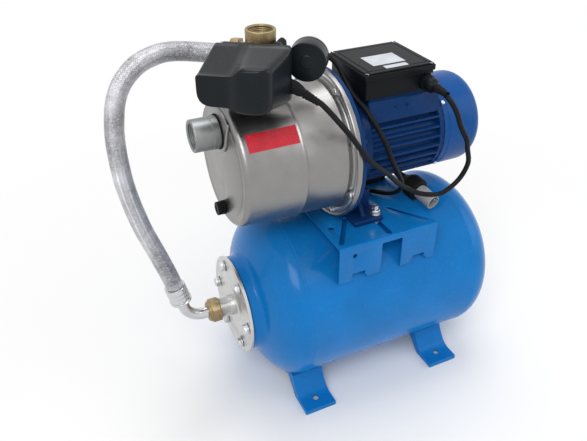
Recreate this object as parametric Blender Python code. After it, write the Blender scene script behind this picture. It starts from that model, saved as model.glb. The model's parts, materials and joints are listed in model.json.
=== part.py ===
"""A booster pump set: a self-priming jet pump on a horizontal pressure tank, with hose, gauge and switch.

Metres, +Z up, +X towards the fan end. The origin is on the floor, under the middle of the set.
"""
from math import acos, asin, atan2, cos, pi, radians, sin, sqrt

import bmesh
import bpy
from mathutils import Matrix, Vector

# Clearances
TOUCH = 0.0003
RUN = 0.0005

# Pressure tank
TANK_RADIUS = 0.131
TANK_BARREL = 0.2785
TANK_HEAD_DEPTH = 0.0655
TANK_WALL = 0.0015
TANK_UNDERSIDE = 0.0225
NECK_RADIUS = 0.0725
MOUTH_RADIUS = 0.048
FLANGE_STAND = 0.0762
FLANGE_RADIUS = 0.0757
FLANGE_THICKNESS = 0.004
FLANGE_BOLT_CIRCLE = 0.060
FLANGE_BOLTS = 6
FLANGE_BOLT_RADIUS = 0.004
MEMBRANE_WALL = 0.0015
STUB_RADIUS = 0.0155
STUB_BORE = 0.0125
STUB_LENGTH = 0.0313
VALVE_STEM_RADIUS = 0.0062
VALVE_CAP_REACH = 0.014
VALVE_CAP_RADIUS = 0.0115

# Feet
FOOT_SPACING = 0.230
FOOT_OFFSET = -0.0093
FOOT_WIDTH = 0.0517
FOOT_TOE = 0.125
FOOT_PAD_HEIGHT = 0.008
FOOT_PAD_LENGTH = 0.035
FOOT_STEEL = 0.0025
FOOT_HOLE = 0.0048
FOOT_HOLE_FROM_TOE = 0.0202

# Pump bracket
BRACKET_OFFSET = -0.0153
BRACKET_LENGTH = 0.160
BRACKET_HALF_WIDTH = 0.1096
BRACKET_RISE = 0.0048
BRACKET_STEEL = 0.0025
BRACKET_GAP_WIDTH = 0.0335
BRACKET_SLOT = 0.007
BRACKET_STRIP = 0.009

# Pump
SHAFT_HEIGHT = 0.1072
JOINT_OFFSET = -0.0488
CASING_LENGTH = 0.153
CASING_MOUTH_RADIUS = 0.0905
CASING_FRONT_RADIUS = 0.0862
CASING_FLANGE_RADIUS = 0.1062
CASING_STEEL = 0.002
CASING_SEAM = 0.0712
CASING_EDGE = 0.0075
CASING_SCREWS = 8
CASING_SCREW_CIRCLE = 0.0965
SEAL_PLATE_THICKNESS = 0.0015
SUCTION_HEIGHT = 0.0481
SUCTION_RADIUS = 0.0213
SUCTION_BORE = 0.0165
SUCTION_LENGTH = 0.0382
SUCTION_BOSS_RADIUS = 0.0275
SUCTION_BOSS_RISE = 0.0035
DISCHARGE_FROM_JOINT = 0.0931
DISCHARGE_RADIUS = 0.0205
DISCHARGE_BORE = 0.016
DISCHARGE_HEIGHT = 0.115
DRAIN_DROP = 0.0665
DRAIN_HEAD = 0.012
DRAIN_RADIUS = 0.0098
IMPELLER_RADIUS = 0.064
IMPELLER_VANES = 6
SEAL_RADIUS = 0.0127

# Motor
SHAFT_RADIUS = 0.0085
SHAFT_NOSE_RADIUS = 0.0062
BRACKET_DEPTH = 0.038
MOTOR_LENGTH = 0.112
MOTOR_BORE = 0.0555
MOTOR_SKIN = 0.0585
MOTOR_FIN_RADIUS = 0.0665
MOTOR_FINS = 30
STATOR_BORE = 0.044
ROTOR_RADIUS = 0.0355
CORE_LENGTH = 0.065
BEARING_RADIUS = 0.020
BEARING_WIDTH = 0.012
BALL_RADIUS = 0.0022
BALLS = 7
ENDSHIELD_THICKNESS = 0.004
FAN_RADIUS = 0.055
FAN_BLADES = 7
COWL_RADIUS = 0.067
COWL_LENGTH = 0.068
COWL_ROUND = 0.020
COWL_STEEL = 0.0012
FOOT_BASE_HALF_WIDTH = 0.072
FOOT_BASE_LENGTH = 0.047
FOOT_BASE_THICKNESS = 0.008
FOOT_BASE_FROM_JOINT = 0.0133
FOOT_BOLT_FROM_JOINT = 0.052
FOOT_BOLT_Y = 0.062
FOOT_BOLT_RADIUS = 0.0035

# Terminal box
BOX_LENGTH = 0.102
BOX_HALF_WIDTH = 0.047
BOX_HEIGHT = 0.0275
BOX_WALL = 0.0025
BOX_FROM_JOINT = 0.0318
LID_OVERHANG = 0.0031
LID_HEIGHT = 0.010
SADDLE_TOP = 0.0712
GLAND_FROM_BOX_END = 0.0095
CAPACITOR_RADIUS = 0.0135

# Pipework on top of the pump
FITTING_TURN = radians(-36.0)
FITTING_TOP = 0.1715
FITTING_RADIUS = 0.0195
OUTLET_RADIUS = 0.019
OUTLET_BORE = 0.0152
PORT_HEIGHT = 0.137
PORT_RADIUS = 0.0157
PORT_BORE = 0.0115
PORT_LENGTH = 0.032
SMALL_PORT_RADIUS = 0.010
SMALL_PORT_LENGTH = 0.0225

# Pressure gauge
GAUGE_RADIUS = 0.0245
GAUGE_DEPTH = 0.026
GAUGE_WALL = 0.0025
GAUGE_REACH = 0.0585

# Pressure switch
SWITCH_BASE_BACK = 0.030
SWITCH_BASE_DEPTH = 0.0147
SWITCH_COVER_DEPTH = 0.0675
SWITCH_WALL = 0.002
SWITCH_DROP = 0.004
LEVER_PIVOT = 0.030
LEVER_HEIGHT = 0.014
LEVER_STEEL = 0.002
SPRING_PLACE = -0.006
SPRING_LENGTH = 0.026
SWITCH_GLAND_RADIUS = 0.0080
REAR_GLAND = 0.026
REAR_GLAND_RISE = 0.0235
SIDE_GLAND_DEPTH = 0.0062
SIDE_GLAND_DROOP = radians(30.0)

# Hose and leads
HOSE_DIAMETER = 0.0245
HOSE_START = 0.0515
TOP_NUT_START = 0.026
TOP_NUT_LENGTH = 0.012
TOP_NUT_FLATS = 0.039
HOSE_FERRULE_RADIUS = 0.0150
ELBOW_RADIUS = 0.0085
ELBOW_BEND = 0.030
NUT_FLATS = 0.033
LEAD_DIAMETER = 0.007
COIL_MEAN_RADIUS = 0.035
COIL_BAND = 0.014
PLUG_RADIUS = 0.0175
PLUG_LENGTH = 0.088
PLUG_X = 0.0975
PLUG_REST = 0.042
PLUG_TILT = radians(10.0)
PLUG_TURN = radians(10.0)
PLUG_GUARD_RADIUS = 0.0115

# Places that follow from the sizes
LEFT_REACH = -BRACKET_OFFSET - JOINT_OFFSET + CASING_LENGTH + SUCTION_LENGTH
RIGHT_REACH = TANK_BARREL / 2 + TANK_HEAD_DEPTH + VALVE_CAP_REACH
TANK_X = (LEFT_REACH - RIGHT_REACH) / 2
TANK_Z = TANK_UNDERSIDE + TANK_RADIUS
TANK_FRONT_X = TANK_X - TANK_BARREL / 2
TANK_REAR_X = TANK_X + TANK_BARREL / 2 + TANK_HEAD_DEPTH
FLANGE_FACE_X = TANK_FRONT_X - FLANGE_STAND
FLANGE_BACK_X = FLANGE_FACE_X + FLANGE_THICKNESS
NECK_FACE = 2 * TOUCH + MEMBRANE_WALL
BRACKET_X = TANK_X + BRACKET_OFFSET
BRACKET_TOP_Z = TANK_Z + TANK_RADIUS + BRACKET_RISE
JOINT_X = BRACKET_X + JOINT_OFFSET
PUMP_Z = BRACKET_TOP_Z + SHAFT_HEIGHT
FITTING_X = JOINT_X - DISCHARGE_FROM_JOINT
PORT_Z = PUMP_Z + PORT_HEIGHT
CASING_BACK = 2 * TOUCH + SEAL_PLATE_THICKNESS
HOUSING_START = BRACKET_DEPTH + TOUCH
HOUSING_END = HOUSING_START + MOTOR_LENGTH
ENDSHIELD_START = HOUSING_END + TOUCH
COWL_START = ENDSHIELD_START + ENDSHIELD_THICKNESS + TOUCH
COWL_END = COWL_START + COWL_LENGTH
FRONT_BEARING = BRACKET_DEPTH - 0.014
REAR_BEARING = ENDSHIELD_START + 0.0009
CORE_START = HOUSING_START + 0.0217
BOX_START_X = JOINT_X + BOX_FROM_JOINT
BOX_BOTTOM_Z = PUMP_Z + SADDLE_TOP + TOUCH
BOX_TOP_Z = BOX_BOTTOM_Z + BOX_HEIGHT
LID_TOP_Z = BOX_TOP_Z + TOUCH + LID_HEIGHT
SWITCH_Z = PORT_Z - SWITCH_DROP
COIL_X = 0.0585
COIL_Y = 0.065
COIL_Z = BRACKET_TOP_Z + TOUCH

# Directions
UP = Vector((0, 0, 1))
AHEAD = Vector((-1, 0, 0))
BACK = Vector((1, 0, 0))
GAUGE_WAY = Vector((cos(FITTING_TURN), sin(FITTING_TURN), 0))
HOSE_WAY = -GAUGE_WAY
SWITCH_WAY = Vector((sin(FITTING_TURN), -cos(FITTING_TURN), 0))

# Colours, roughness and metal
FINISHES = {
    "tank_blue": ((0.03, 0.22, 0.62), 0.25, 0.0),
    "navy_paint": ((0.01, 0.04, 0.25), 0.4, 0.0),
    "cowl_blue": ((0.03, 0.12, 0.45), 0.35, 0.0),
    "stainless": ((0.62, 0.61, 0.59), 0.25, 1.0),
    "zinc": ((0.60, 0.60, 0.62), 0.35, 1.0),
    "brass": ((0.45, 0.33, 0.14), 0.4, 1.0),
    "chrome": ((0.75, 0.75, 0.76), 0.12, 1.0),
    "cast_port": ((0.33, 0.35, 0.35), 0.45, 0.6),
    "black_plastic": ((0.02, 0.02, 0.022), 0.4, 0.0),
    "black_rubber": ((0.015, 0.015, 0.015), 0.7, 0.0),
    "lead_rubber": ((0.02, 0.022, 0.022), 0.55, 0.0),
    "braid": ((0.55, 0.55, 0.57), 0.35, 0.8),
    "steel": ((0.45, 0.45, 0.46), 0.35, 1.0),
    "core_steel": ((0.25, 0.25, 0.26), 0.5, 1.0),
    "copper": ((0.55, 0.22, 0.08), 0.4, 1.0),
    "noryl": ((0.05, 0.05, 0.055), 0.5, 0.0),
    "ceramic": ((0.8, 0.78, 0.72), 0.3, 0.0),
    "dial_white": ((0.8, 0.8, 0.78), 0.6, 0.0),
    "pointer_red": ((0.5, 0.02, 0.02), 0.5, 0.0),
    "glass": ((0.85, 0.9, 0.9), 0.05, 0.0),
}


def clear_scene():
    for thing in list(bpy.data.objects):
        bpy.data.objects.remove(thing)


def finish(name):
    """The Principled material of one finish."""
    known = bpy.data.materials.get(name)
    if known:
        return known
    colour, roughness, metal = FINISHES[name]
    made = bpy.data.materials.new(name)
    made.use_nodes = True
    shader = made.node_tree.nodes["Principled BSDF"]
    shader.inputs["Base Color"].default_value = (*colour, 1.0)
    shader.inputs["Roughness"].default_value = roughness
    shader.inputs["Metallic"].default_value = metal
    return made


def place(name, shape, coat, matrix=None):
    """Makes an object of a bmesh, with its finish, at its place."""
    bmesh.ops.recalc_face_normals(shape, faces=shape.faces)
    mesh = bpy.data.meshes.new(name)
    shape.to_mesh(mesh)
    shape.free()
    mesh.materials.append(finish(coat))
    mesh.shade_smooth()
    mesh.set_sharp_from_angle(angle=radians(35))
    made = bpy.data.objects.new(name, mesh)
    bpy.context.scene.collection.objects.link(made)
    if matrix is not None:
        made.matrix_world = matrix
    return made


def facing(origin, axis):
    """The matrix that puts local Z along axis at origin."""
    turn = UP.rotation_difference(Vector(axis)).to_matrix().to_4x4()
    return Matrix.Translation(Vector(origin)) @ turn


def framed(origin, right, up):
    """The matrix with local X along right, local Y along up and local Z along their cross product."""
    right, up = Vector(right).normalized(), Vector(up).normalized()
    turn = Matrix((right, up, right.cross(up))).transposed().to_4x4()
    return Matrix.Translation(Vector(origin)) @ turn


def lathe(name, profile, coat, origin, axis, steps=32, ring=True):
    """Spins a profile of (along, radius) about axis. A ring is a closed outline, else both ends are on the axis."""
    shape = bmesh.new()
    points = [shape.verts.new((radius, 0, along)) for along, radius in profile]
    edges = [shape.edges.new(pair) for pair in zip(points, points[1:])]
    if ring:
        edges.append(shape.edges.new((points[-1], points[0])))
    bmesh.ops.spin(shape, geom=points + edges, cent=(0, 0, 0), axis=(0, 0, 1), angle=2 * pi, steps=steps)
    bmesh.ops.remove_doubles(shape, verts=shape.verts, dist=1e-6)
    return place(name, shape, coat, facing(origin, axis))


def rod(name, radius, start, end, coat, origin, axis, steps=16):
    """A plain round bar from start to end along the axis, a flat of it to the top."""
    outline = [(radius * cos(a), radius * sin(a)) for a in around(steps, pi / steps)]
    return prism(name, outline, end - start, coat, facing(Vector(origin) + start * Vector(axis), axis))


def prism(name, outline, depth, coat, matrix):
    """Extrudes a flat outline along local Z of the matrix."""
    shape = bmesh.new()
    base = shape.faces.new([shape.verts.new((u, v, 0)) for u, v in outline])
    grown = bmesh.ops.extrude_face_region(shape, geom=[base])
    top = [part for part in grown["geom"] if isinstance(part, bmesh.types.BMVert)]
    bmesh.ops.translate(shape, verts=top, vec=(0, 0, depth))
    return place(name, shape, coat, matrix)


def block(name, low, high, coat, edge=0.0, frame=None):
    """A box between two corners, its edges bevelled, in the world or in a frame of its own."""
    low, high = Vector(low), Vector(high)
    shape = bmesh.new()
    bmesh.ops.create_cube(shape, size=1.0)
    bmesh.ops.scale(shape, verts=shape.verts, vec=high - low)
    if edge:
        bmesh.ops.bevel(shape, geom=shape.edges[:], offset=edge, segments=2, affect="EDGES", profile=0.5)
    middle = Matrix.Translation((low + high) / 2)
    return place(name, shape, coat, frame @ middle if frame is not None else middle)


def loft(name, loops, coat, matrix):
    """A skin over loops of equal length, from a capped first one to a capped last one."""
    shape = bmesh.new()
    rows = [[shape.verts.new(point) for point in loop] for loop in loops]
    for row, after in zip(rows, rows[1:]):
        for k in range(len(row)):
            n = (k + 1) % len(row)
            shape.faces.new((row[k], row[n], after[n], after[k]))
    shape.faces.new(rows[0])
    shape.faces.new(rows[-1])
    return place(name, shape, coat, matrix)


def combine(target, tool, operation):
    """Cuts a guide from the target, or joins the guide to it."""
    tool.hide_render = True
    tool.display_type = "WIRE"
    step = target.modifiers.new(tool.name, "BOOLEAN")
    step.operation = operation
    step.object = tool
    step.solver = "EXACT"
    return target


def cut(target, *tools):
    for tool in tools:
        combine(target, tool, "DIFFERENCE")
    return target


def join(target, *tools):
    for tool in tools:
        combine(target, tool, "UNION")
    return target


def hexagon(flats, turn=0.0):
    """The outline of a hexagon of that width across its flats."""
    corner = flats / sqrt(3)
    return [(corner * cos(turn + k * pi / 3), corner * sin(turn + k * pi / 3)) for k in range(6)]


def around(count, start=0.0):
    """Angles spread evenly round a circle."""
    return [start + 2 * pi * k / count for k in range(count)]


def hex_bar(name, flats, start, end, coat, origin, axis):
    return prism(name, hexagon(flats), end - start, coat, facing(Vector(origin) + start * Vector(axis), axis))


def smooth_line(points, count):
    """Points at even spacing on a smooth curve through the route's points."""
    route = [Vector(p) for p in points]
    ends = [2 * route[0] - route[1]] + route + [2 * route[-1] - route[-2]]
    fine = []
    for before, start, end, after in zip(ends, ends[1:], ends[2:], ends[3:]):
        for step in range(24):
            t = step / 24
            fine.append(0.5 * (2 * start + (end - before) * t
                               + (2 * before - 5 * start + 4 * end - after) * t * t
                               + (3 * start - before - 3 * end + after) * t ** 3))
    fine.append(route[-1])
    reach = [0.0]
    for here, there in zip(fine, fine[1:]):
        reach.append(reach[-1] + (there - here).length)
    line, k = [], 0
    for n in range(count):
        goal = reach[-1] * n / (count - 1)
        while k < len(fine) - 2 and reach[k + 1] < goal:
            k += 1
        share = (goal - reach[k]) / (reach[k + 1] - reach[k])
        line.append(fine[k].lerp(fine[k + 1], share))
    return line


def cord(name, points, diameter, coat, count, resolution):
    """A round cord along a smooth curve, with closed ends."""
    curve = bpy.data.curves.new(name, "CURVE")
    curve.dimensions = "3D"
    curve.bevel_depth = diameter / 2
    curve.bevel_resolution = resolution
    curve.use_fill_caps = True
    line = smooth_line(points, count)
    spline = curve.splines.new("POLY")
    spline.points.add(count - 1)
    for point, place_on_line in zip(spline.points, line):
        point.co = (*place_on_line, 1.0)
    curve.materials.append(finish(coat))
    made = bpy.data.objects.new(name, curve)
    bpy.context.scene.collection.objects.link(made)
    return made


def swept(name, line, radius, coat, sides=12):
    """A round bar along a line of points that lies in an XZ plane."""
    shape = bmesh.new()
    across = Vector((0, 1, 0))
    rows = []
    for k, point in enumerate(line):
        way = (line[min(k + 1, len(line) - 1)] - line[max(k - 1, 0)]).normalized()
        out = across.cross(way)
        ring = [point + radius * (cos(a) * across + sin(a) * out) for a in around(sides)]
        rows.append([shape.verts.new(p) for p in ring])
    for row, after in zip(rows, rows[1:]):
        for k in range(sides):
            n = (k + 1) % sides
            shape.faces.new((row[k], row[n], after[n], after[k]))
    shape.faces.new(rows[0])
    shape.faces.new(rows[-1])
    return place(name, shape, coat)


def head_curve(radius, depth, inner_radius, steps):
    """(depth, radius) points of an elliptical dished head, from the barrel towards the axis."""
    last = asin(inner_radius / radius)
    return [(depth * cos(a), radius * sin(a)) for a in
            [pi / 2 + (last - pi / 2) * k / steps for k in range(steps + 1)]]


def tank_shell():
    """The steel vessel: a neck with a bolted face at the front, and a hole for the air valve behind."""
    inner_radius = TANK_RADIUS - TANK_WALL
    inner_depth = TANK_HEAD_DEPTH - TANK_WALL
    neck = -(FLANGE_STAND - FLANGE_THICKNESS - NECK_FACE)
    valve_hole = VALVE_STEM_RADIUS + TOUCH
    outer_front = [(-d, r) for d, r in head_curve(TANK_RADIUS, TANK_HEAD_DEPTH, NECK_RADIUS, 4)]
    outer_rear = [(TANK_BARREL + d, r) for d, r in head_curve(TANK_RADIUS, TANK_HEAD_DEPTH, valve_hole, 5)]
    inner_front = [(-d, r) for d, r in head_curve(inner_radius, inner_depth, MOUTH_RADIUS, 4)]
    inner_rear = [(TANK_BARREL + d, r) for d, r in head_curve(inner_radius, inner_depth, valve_hole, 5)]
    profile = [(neck, MOUTH_RADIUS), (neck, NECK_RADIUS)]
    profile += outer_front[::-1] + outer_rear + inner_rear[::-1] + inner_front
    shell = lathe("tank_shell", profile, "tank_blue", (TANK_FRONT_X, 0, TANK_Z), BACK, steps=36)
    for k, (y, z) in enumerate(flange_bolt_places()):
        hole = rod(f"guide_neck_hole_{k}", FLANGE_BOLT_RADIUS + TOUCH, neck - 0.003, neck + 0.0112, "steel",
                   (TANK_FRONT_X, y, z), BACK, steps=8)
        cut(shell, hole)
    return shell


def flange_bolt_places():
    return [(FLANGE_BOLT_CIRCLE * cos(a), TANK_Z + FLANGE_BOLT_CIRCLE * sin(a)) for a in around(FLANGE_BOLTS)]


def tank_membrane():
    """The rubber bag, its lip held between neck and flange. Measured back from the flange."""
    neck = MOUTH_RADIUS - 0.0015
    bag = TANK_RADIUS - 0.015
    start = FLANGE_STAND - FLANGE_THICKNESS
    outer = [(start + TANK_BARREL, 0), (start + TANK_BARREL - 0.016, 0.5 * bag), (start + TANK_BARREL - 0.06, 0.9 * bag),
             (start + 0.5 * TANK_BARREL, bag), (start + 0.028, bag), (start - 0.012, 0.93 * bag),
             (start - 0.038, 0.69 * bag), (start - 0.050, neck), (TOUCH + MEMBRANE_WALL, neck),
             (TOUCH + MEMBRANE_WALL, MOUTH_RADIUS + 0.005), (TOUCH, MOUTH_RADIUS + 0.005)]
    wall = MEMBRANE_WALL
    inner = [(TOUCH, neck - wall), (start - 0.0485, neck - wall), (start - 0.0368, 0.69 * bag - wall),
             (start - 0.0115, 0.93 * bag - wall), (start + 0.028, bag - wall), (start + 0.5 * TANK_BARREL, bag - wall),
             (start + TANK_BARREL - 0.061, 0.9 * bag - wall), (start + TANK_BARREL - 0.017, 0.5 * bag - wall),
             (start + TANK_BARREL - wall, 0)]
    return lathe("tank_membrane", outer + inner, "black_rubber", (FLANGE_BACK_X, 0, TANK_Z), BACK, steps=16, ring=False)


def tank_flange():
    """The bolted cover of the tank's mouth, with a threaded stub. Measured ahead of its back face."""
    face = FLANGE_THICKNESS
    profile = [(0, STUB_BORE), (0, FLANGE_RADIUS), (0.7 * face, FLANGE_RADIUS), (face, FLANGE_RADIUS - 0.0012),
               (face, STUB_RADIUS + 0.012), (face + 0.0015, STUB_RADIUS + 0.010), (face + 0.0015, STUB_RADIUS),
               (face + STUB_LENGTH, STUB_RADIUS), (face + STUB_LENGTH, STUB_BORE)]
    flange = lathe("tank_flange", profile, "zinc", (FLANGE_BACK_X, 0, TANK_Z), AHEAD, steps=32)
    for k, (y, z) in enumerate(flange_bolt_places()):
        cut(flange, rod(f"guide_flange_hole_{k}", FLANGE_BOLT_RADIUS + TOUCH, -0.003, face + 0.003, "steel",
                        (FLANGE_BACK_X, y, z), AHEAD, steps=8))
    return flange


def flange_bolts():
    """Six hexagon bolts on one thin washer ring."""
    seat = FLANGE_THICKNESS + TOUCH
    ring = lathe("flange_bolts", [(seat, FLANGE_BOLT_CIRCLE - 0.003), (seat, FLANGE_BOLT_CIRCLE + 0.003),
                                  (seat + 0.0008, FLANGE_BOLT_CIRCLE + 0.003), (seat + 0.0008, FLANGE_BOLT_CIRCLE - 0.003)],
                 "zinc", (FLANGE_BACK_X, 0, TANK_Z), AHEAD, steps=24)
    for k, (y, z) in enumerate(flange_bolt_places()):
        origin = (FLANGE_BACK_X, y, z)
        join(ring, hex_bar(f"guide_bolt_head_{k}", 0.013, seat + 0.0004, seat + 0.0062, "zinc", origin, AHEAD),
             rod(f"guide_bolt_shank_{k}", FLANGE_BOLT_RADIUS, -NECK_FACE - 0.0104, seat + 0.003, "zinc", origin, AHEAD, steps=8))
    return ring


def tank_feet():
    """Pressed steel saddles under the tank, one channel across each end of the barrel."""
    outer_arc = TANK_RADIUS + TOUCH
    knee = FOOT_TOE - FOOT_PAD_LENGTH
    reach = 0.5 * TANK_RADIUS

    def arc(radius, steps, half):
        last = asin(half / radius)
        return [(radius * sin(a), TANK_Z - radius * cos(a)) for a in
                [-last + 2 * last * k / steps for k in range(steps + 1)]]

    lip = FOOT_PAD_HEIGHT
    under = outer_arc + lip
    top = [(-FOOT_TOE, lip), (-knee, lip)] + arc(outer_arc, 10, reach) + [(knee, lip), (FOOT_TOE, lip)]
    bottom = [(FOOT_TOE, 0), (knee - 0.5 * lip, 0)] + arc(under, 8, reach - lip)[::-1] + [(-knee + 0.5 * lip, 0), (-FOOT_TOE, 0)]
    steel = FOOT_STEEL
    hollow_top = [(-FOOT_TOE + steel, lip - steel), (-knee + 0.5 * steel, lip - steel)]
    hollow_top += arc(outer_arc + steel, 10, reach - 0.5 * steel)
    hollow_top += [(knee - 0.5 * steel, lip - steel), (FOOT_TOE - steel, lip - steel)]
    hollow = hollow_top + [(FOOT_TOE - steel, -0.01), (-FOOT_TOE + steel, -0.01)]
    for side, name in ((-1, "tank_foot_left"), (1, "tank_foot_right")):
        middle = TANK_X + FOOT_OFFSET + side * FOOT_SPACING / 2
        start = middle - FOOT_WIDTH / 2
        foot = prism(name, top + bottom, FOOT_WIDTH, "tank_blue", framed((start, 0, 0), (0, 1, 0), (0, 0, 1)))
        cut(foot, prism(f"guide_{name}", hollow, FOOT_WIDTH - 2 * steel, "tank_blue",
                        framed((start + steel, 0, 0), (0, 1, 0), (0, 0, 1))))
        for end in (-1, 1):
            cut(foot, rod(f"guide_{name}_{end}", FOOT_HOLE, -0.01, 0.02, "tank_blue",
                          (middle, end * (FOOT_TOE - FOOT_HOLE_FROM_TOE), 0), UP))


def slot_cutter(name, start, end, width, z):
    """A round-ended slot through the bracket's plate."""
    start, end = Vector(start), Vector(end)
    along = (end - start).to_3d()
    half = width / 2
    arc = [k * pi / 6 for k in range(7)]
    outline = [(along.length + half * sin(a), -half * cos(a)) for a in arc] + [(-half * sin(a), half * cos(a)) for a in arc]
    return prism(name, outline, 0.03, "steel", framed((start.x, start.y, z - 0.015), along, UP.cross(along)))


def pump_bracket():
    """The bench on the tank: a slotted plate with two pairs of legs."""
    half = BRACKET_LENGTH / 2
    low = TANK_Z + sqrt(TANK_RADIUS ** 2 - (BRACKET_HALF_WIDTH - BRACKET_STEEL) ** 2) + TOUCH
    width = BRACKET_HALF_WIDTH
    steel = BRACKET_STEEL
    plate = block("pump_bracket", (BRACKET_X - half, -width, BRACKET_TOP_Z - steel), (BRACKET_X + half, width, BRACKET_TOP_Z), "tank_blue")
    for side in (-1, 1):
        outer, inner = side * width, side * (width - steel)
        leg = block(f"guide_leg_{side}", (BRACKET_X - half, min(outer, inner), low),
                    (BRACKET_X + half, max(outer, inner), BRACKET_TOP_Z - 0.0005), "tank_blue")
        join(plate, leg)
    for side in (-1, 1):
        middle = side * (width - steel / 2)
        tag = f"{side}"
        gap_x = BRACKET_X + 0.0048
        cut(plate, block(f"guide_gap_{tag}", (gap_x - BRACKET_GAP_WIDTH / 2, middle - 0.01, low - 0.01),
                         (gap_x + BRACKET_GAP_WIDTH / 2, middle + 0.01, BRACKET_TOP_Z - BRACKET_STRIP), "steel"))
        for start, end in ((-0.058, -0.034), (0.0417, 0.0663)):
            cut(plate, block(f"guide_notch_{tag}_{start}", (BRACKET_X + start, middle - 0.01, low - 0.01),
                             (BRACKET_X + end, middle + 0.01, low + 0.010), "steel"))
        cut(plate, rod(f"guide_leg_hole_{tag}", 0.0035, -0.01, 0.01, "steel",
                       (BRACKET_X - 0.0557, middle, BRACKET_TOP_Z - 0.017), (0, 1, 0)))
        cut(plate, rod(f"guide_plate_hole_{tag}", 0.0045, -0.01, 0.01, "steel",
                       (BRACKET_X - 0.0658, side * 0.057, BRACKET_TOP_Z), UP))
        for across in (-1, 1):
            start = (BRACKET_X + across * 0.0366, side * 0.0449)
            end = (BRACKET_X + across * 0.0703, side * 0.0958)
            cut(plate, slot_cutter(f"guide_slot_{tag}_{across}", start, end, BRACKET_SLOT, BRACKET_TOP_Z))
        bolt_x = JOINT_X + FOOT_BOLT_FROM_JOINT
        cut(plate, slot_cutter(f"guide_centre_slot_{tag}", (bolt_x, side * (FOOT_BOLT_Y - 0.012)),
                               (bolt_x, side * (FOOT_BOLT_Y + 0.038)), BRACKET_SLOT + 0.002, BRACKET_TOP_Z))
    return plate


def air_valve():
    """The charging valve in the rear head: stem, sprung core and cap. Measured back from the head."""
    origin = (TANK_REAR_X, 0, TANK_Z)
    core_radius = 0.0016
    bore = core_radius + RUN
    end = VALVE_CAP_REACH - 0.0045
    stem = VALVE_STEM_RADIUS
    lathe("air_valve_stem", [(-0.008, bore), (-0.008, stem), (0.0005, stem), (0.0005, stem + 0.0028), (0.0025, stem + 0.0028),
                             (0.0025, stem), (end, stem), (end, bore)], "brass", origin, BACK, steps=16)
    rod("air_valve_core", core_radius, -0.006, end - 0.001, "steel", origin, BACK, steps=12)
    cap = VALVE_CAP_RADIUS
    lathe("air_valve_cap", [(VALVE_CAP_REACH, 0), (VALVE_CAP_REACH, cap - 0.0015), (VALVE_CAP_REACH - 0.0015, cap),
                            (0.003, cap), (0.003, stem + TOUCH), (end + 0.001, stem + TOUCH), (end + 0.001, 0)],
          "black_plastic", origin, BACK, steps=20, ring=False)


def pump_origin():
    return Vector((JOINT_X, 0, PUMP_Z))


def casing_screw_places():
    return [(CASING_SCREW_CIRCLE * cos(a), CASING_SCREW_CIRCLE * sin(a)) for a in around(CASING_SCREWS, radians(22.5))]


def casing_taper(along):
    """The casing's outer radius at a distance ahead of the joint."""
    share = (along - CASING_BACK) / (CASING_LENGTH - CASING_EDGE - CASING_BACK)
    return CASING_MOUTH_RADIUS + share * (CASING_FRONT_RADIUS - CASING_MOUTH_RADIUS)


def pump_casing():
    """The deep-drawn casing, open at the back, with its bolted rim, a seam and the discharge stub."""
    back, steel = CASING_BACK, CASING_STEEL
    rim = CASING_FLANGE_RADIUS
    front = CASING_LENGTH
    edge = CASING_EDGE
    corner = front - edge
    shoulder = casing_taper(corner)
    outer = [(front, 0), (front, shoulder - edge)]
    outer += [(corner + edge * cos(a), shoulder - edge + edge * sin(a)) for a in (radians(30), radians(60), radians(90))]
    seam = CASING_SEAM
    outer += [(seam + 0.0022, casing_taper(seam)), (seam + 0.001, casing_taper(seam) + 0.0011),
              (seam - 0.001, casing_taper(seam) + 0.0011), (seam - 0.0022, casing_taper(seam)),
              (back + steel, casing_taper(back + steel)), (back + steel, rim - 0.004),
              (back + steel + 0.0034, rim - 0.002), (back + steel + 0.0034, rim), (back, rim)]
    thin = edge - steel
    inner = [(back, CASING_MOUTH_RADIUS - steel), (corner, shoulder - steel)]
    inner += [(corner + thin * cos(a), shoulder - edge + thin * sin(a)) for a in (radians(45),)]
    inner += [(front - steel, shoulder - edge), (front - steel, 0)]
    casing = lathe("pump_casing", outer + inner, "stainless", pump_origin(), AHEAD, steps=36, ring=False)
    top = (FITTING_X, 0, PUMP_Z)
    wall = casing_taper(DISCHARGE_FROM_JOINT)
    join(casing, rod("guide_discharge", DISCHARGE_RADIUS, wall - 0.009, DISCHARGE_HEIGHT, "stainless", top, UP, steps=20))
    cut(casing, rod("guide_discharge_bore", DISCHARGE_BORE, wall - 0.02, DISCHARGE_HEIGHT + 0.01, "stainless", top, UP, steps=20))
    inlet = (JOINT_X, 0, PUMP_Z + SUCTION_HEIGHT)
    boss = SUCTION_BOSS_RADIUS
    join(casing, lathe("guide_suction_boss", [(front - 0.001, 0), (front - 0.001, boss + 0.003),
                                              (front + SUCTION_BOSS_RISE, boss), (front + SUCTION_BOSS_RISE, 0)],
                       "stainless", inlet, AHEAD, steps=20, ring=False))
    cut(casing, rod("guide_suction_hole", SUCTION_RADIUS + TOUCH, front - 0.01, front + SUCTION_BOSS_RISE + 0.01, "stainless",
                    inlet, AHEAD, steps=20))
    cut(casing, rod("guide_drain_hole", 0.006 + TOUCH, front - 0.01, front + 0.01, "stainless",
                    (JOINT_X, 0, PUMP_Z - DRAIN_DROP), AHEAD))
    for k, (y, z) in enumerate(casing_screw_places()):
        cut(casing, rod(f"guide_casing_hole_{k}", 0.0025 + TOUCH, -0.005, 0.012, "steel", (JOINT_X, y, PUMP_Z + z), AHEAD, steps=6))
    return casing


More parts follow.
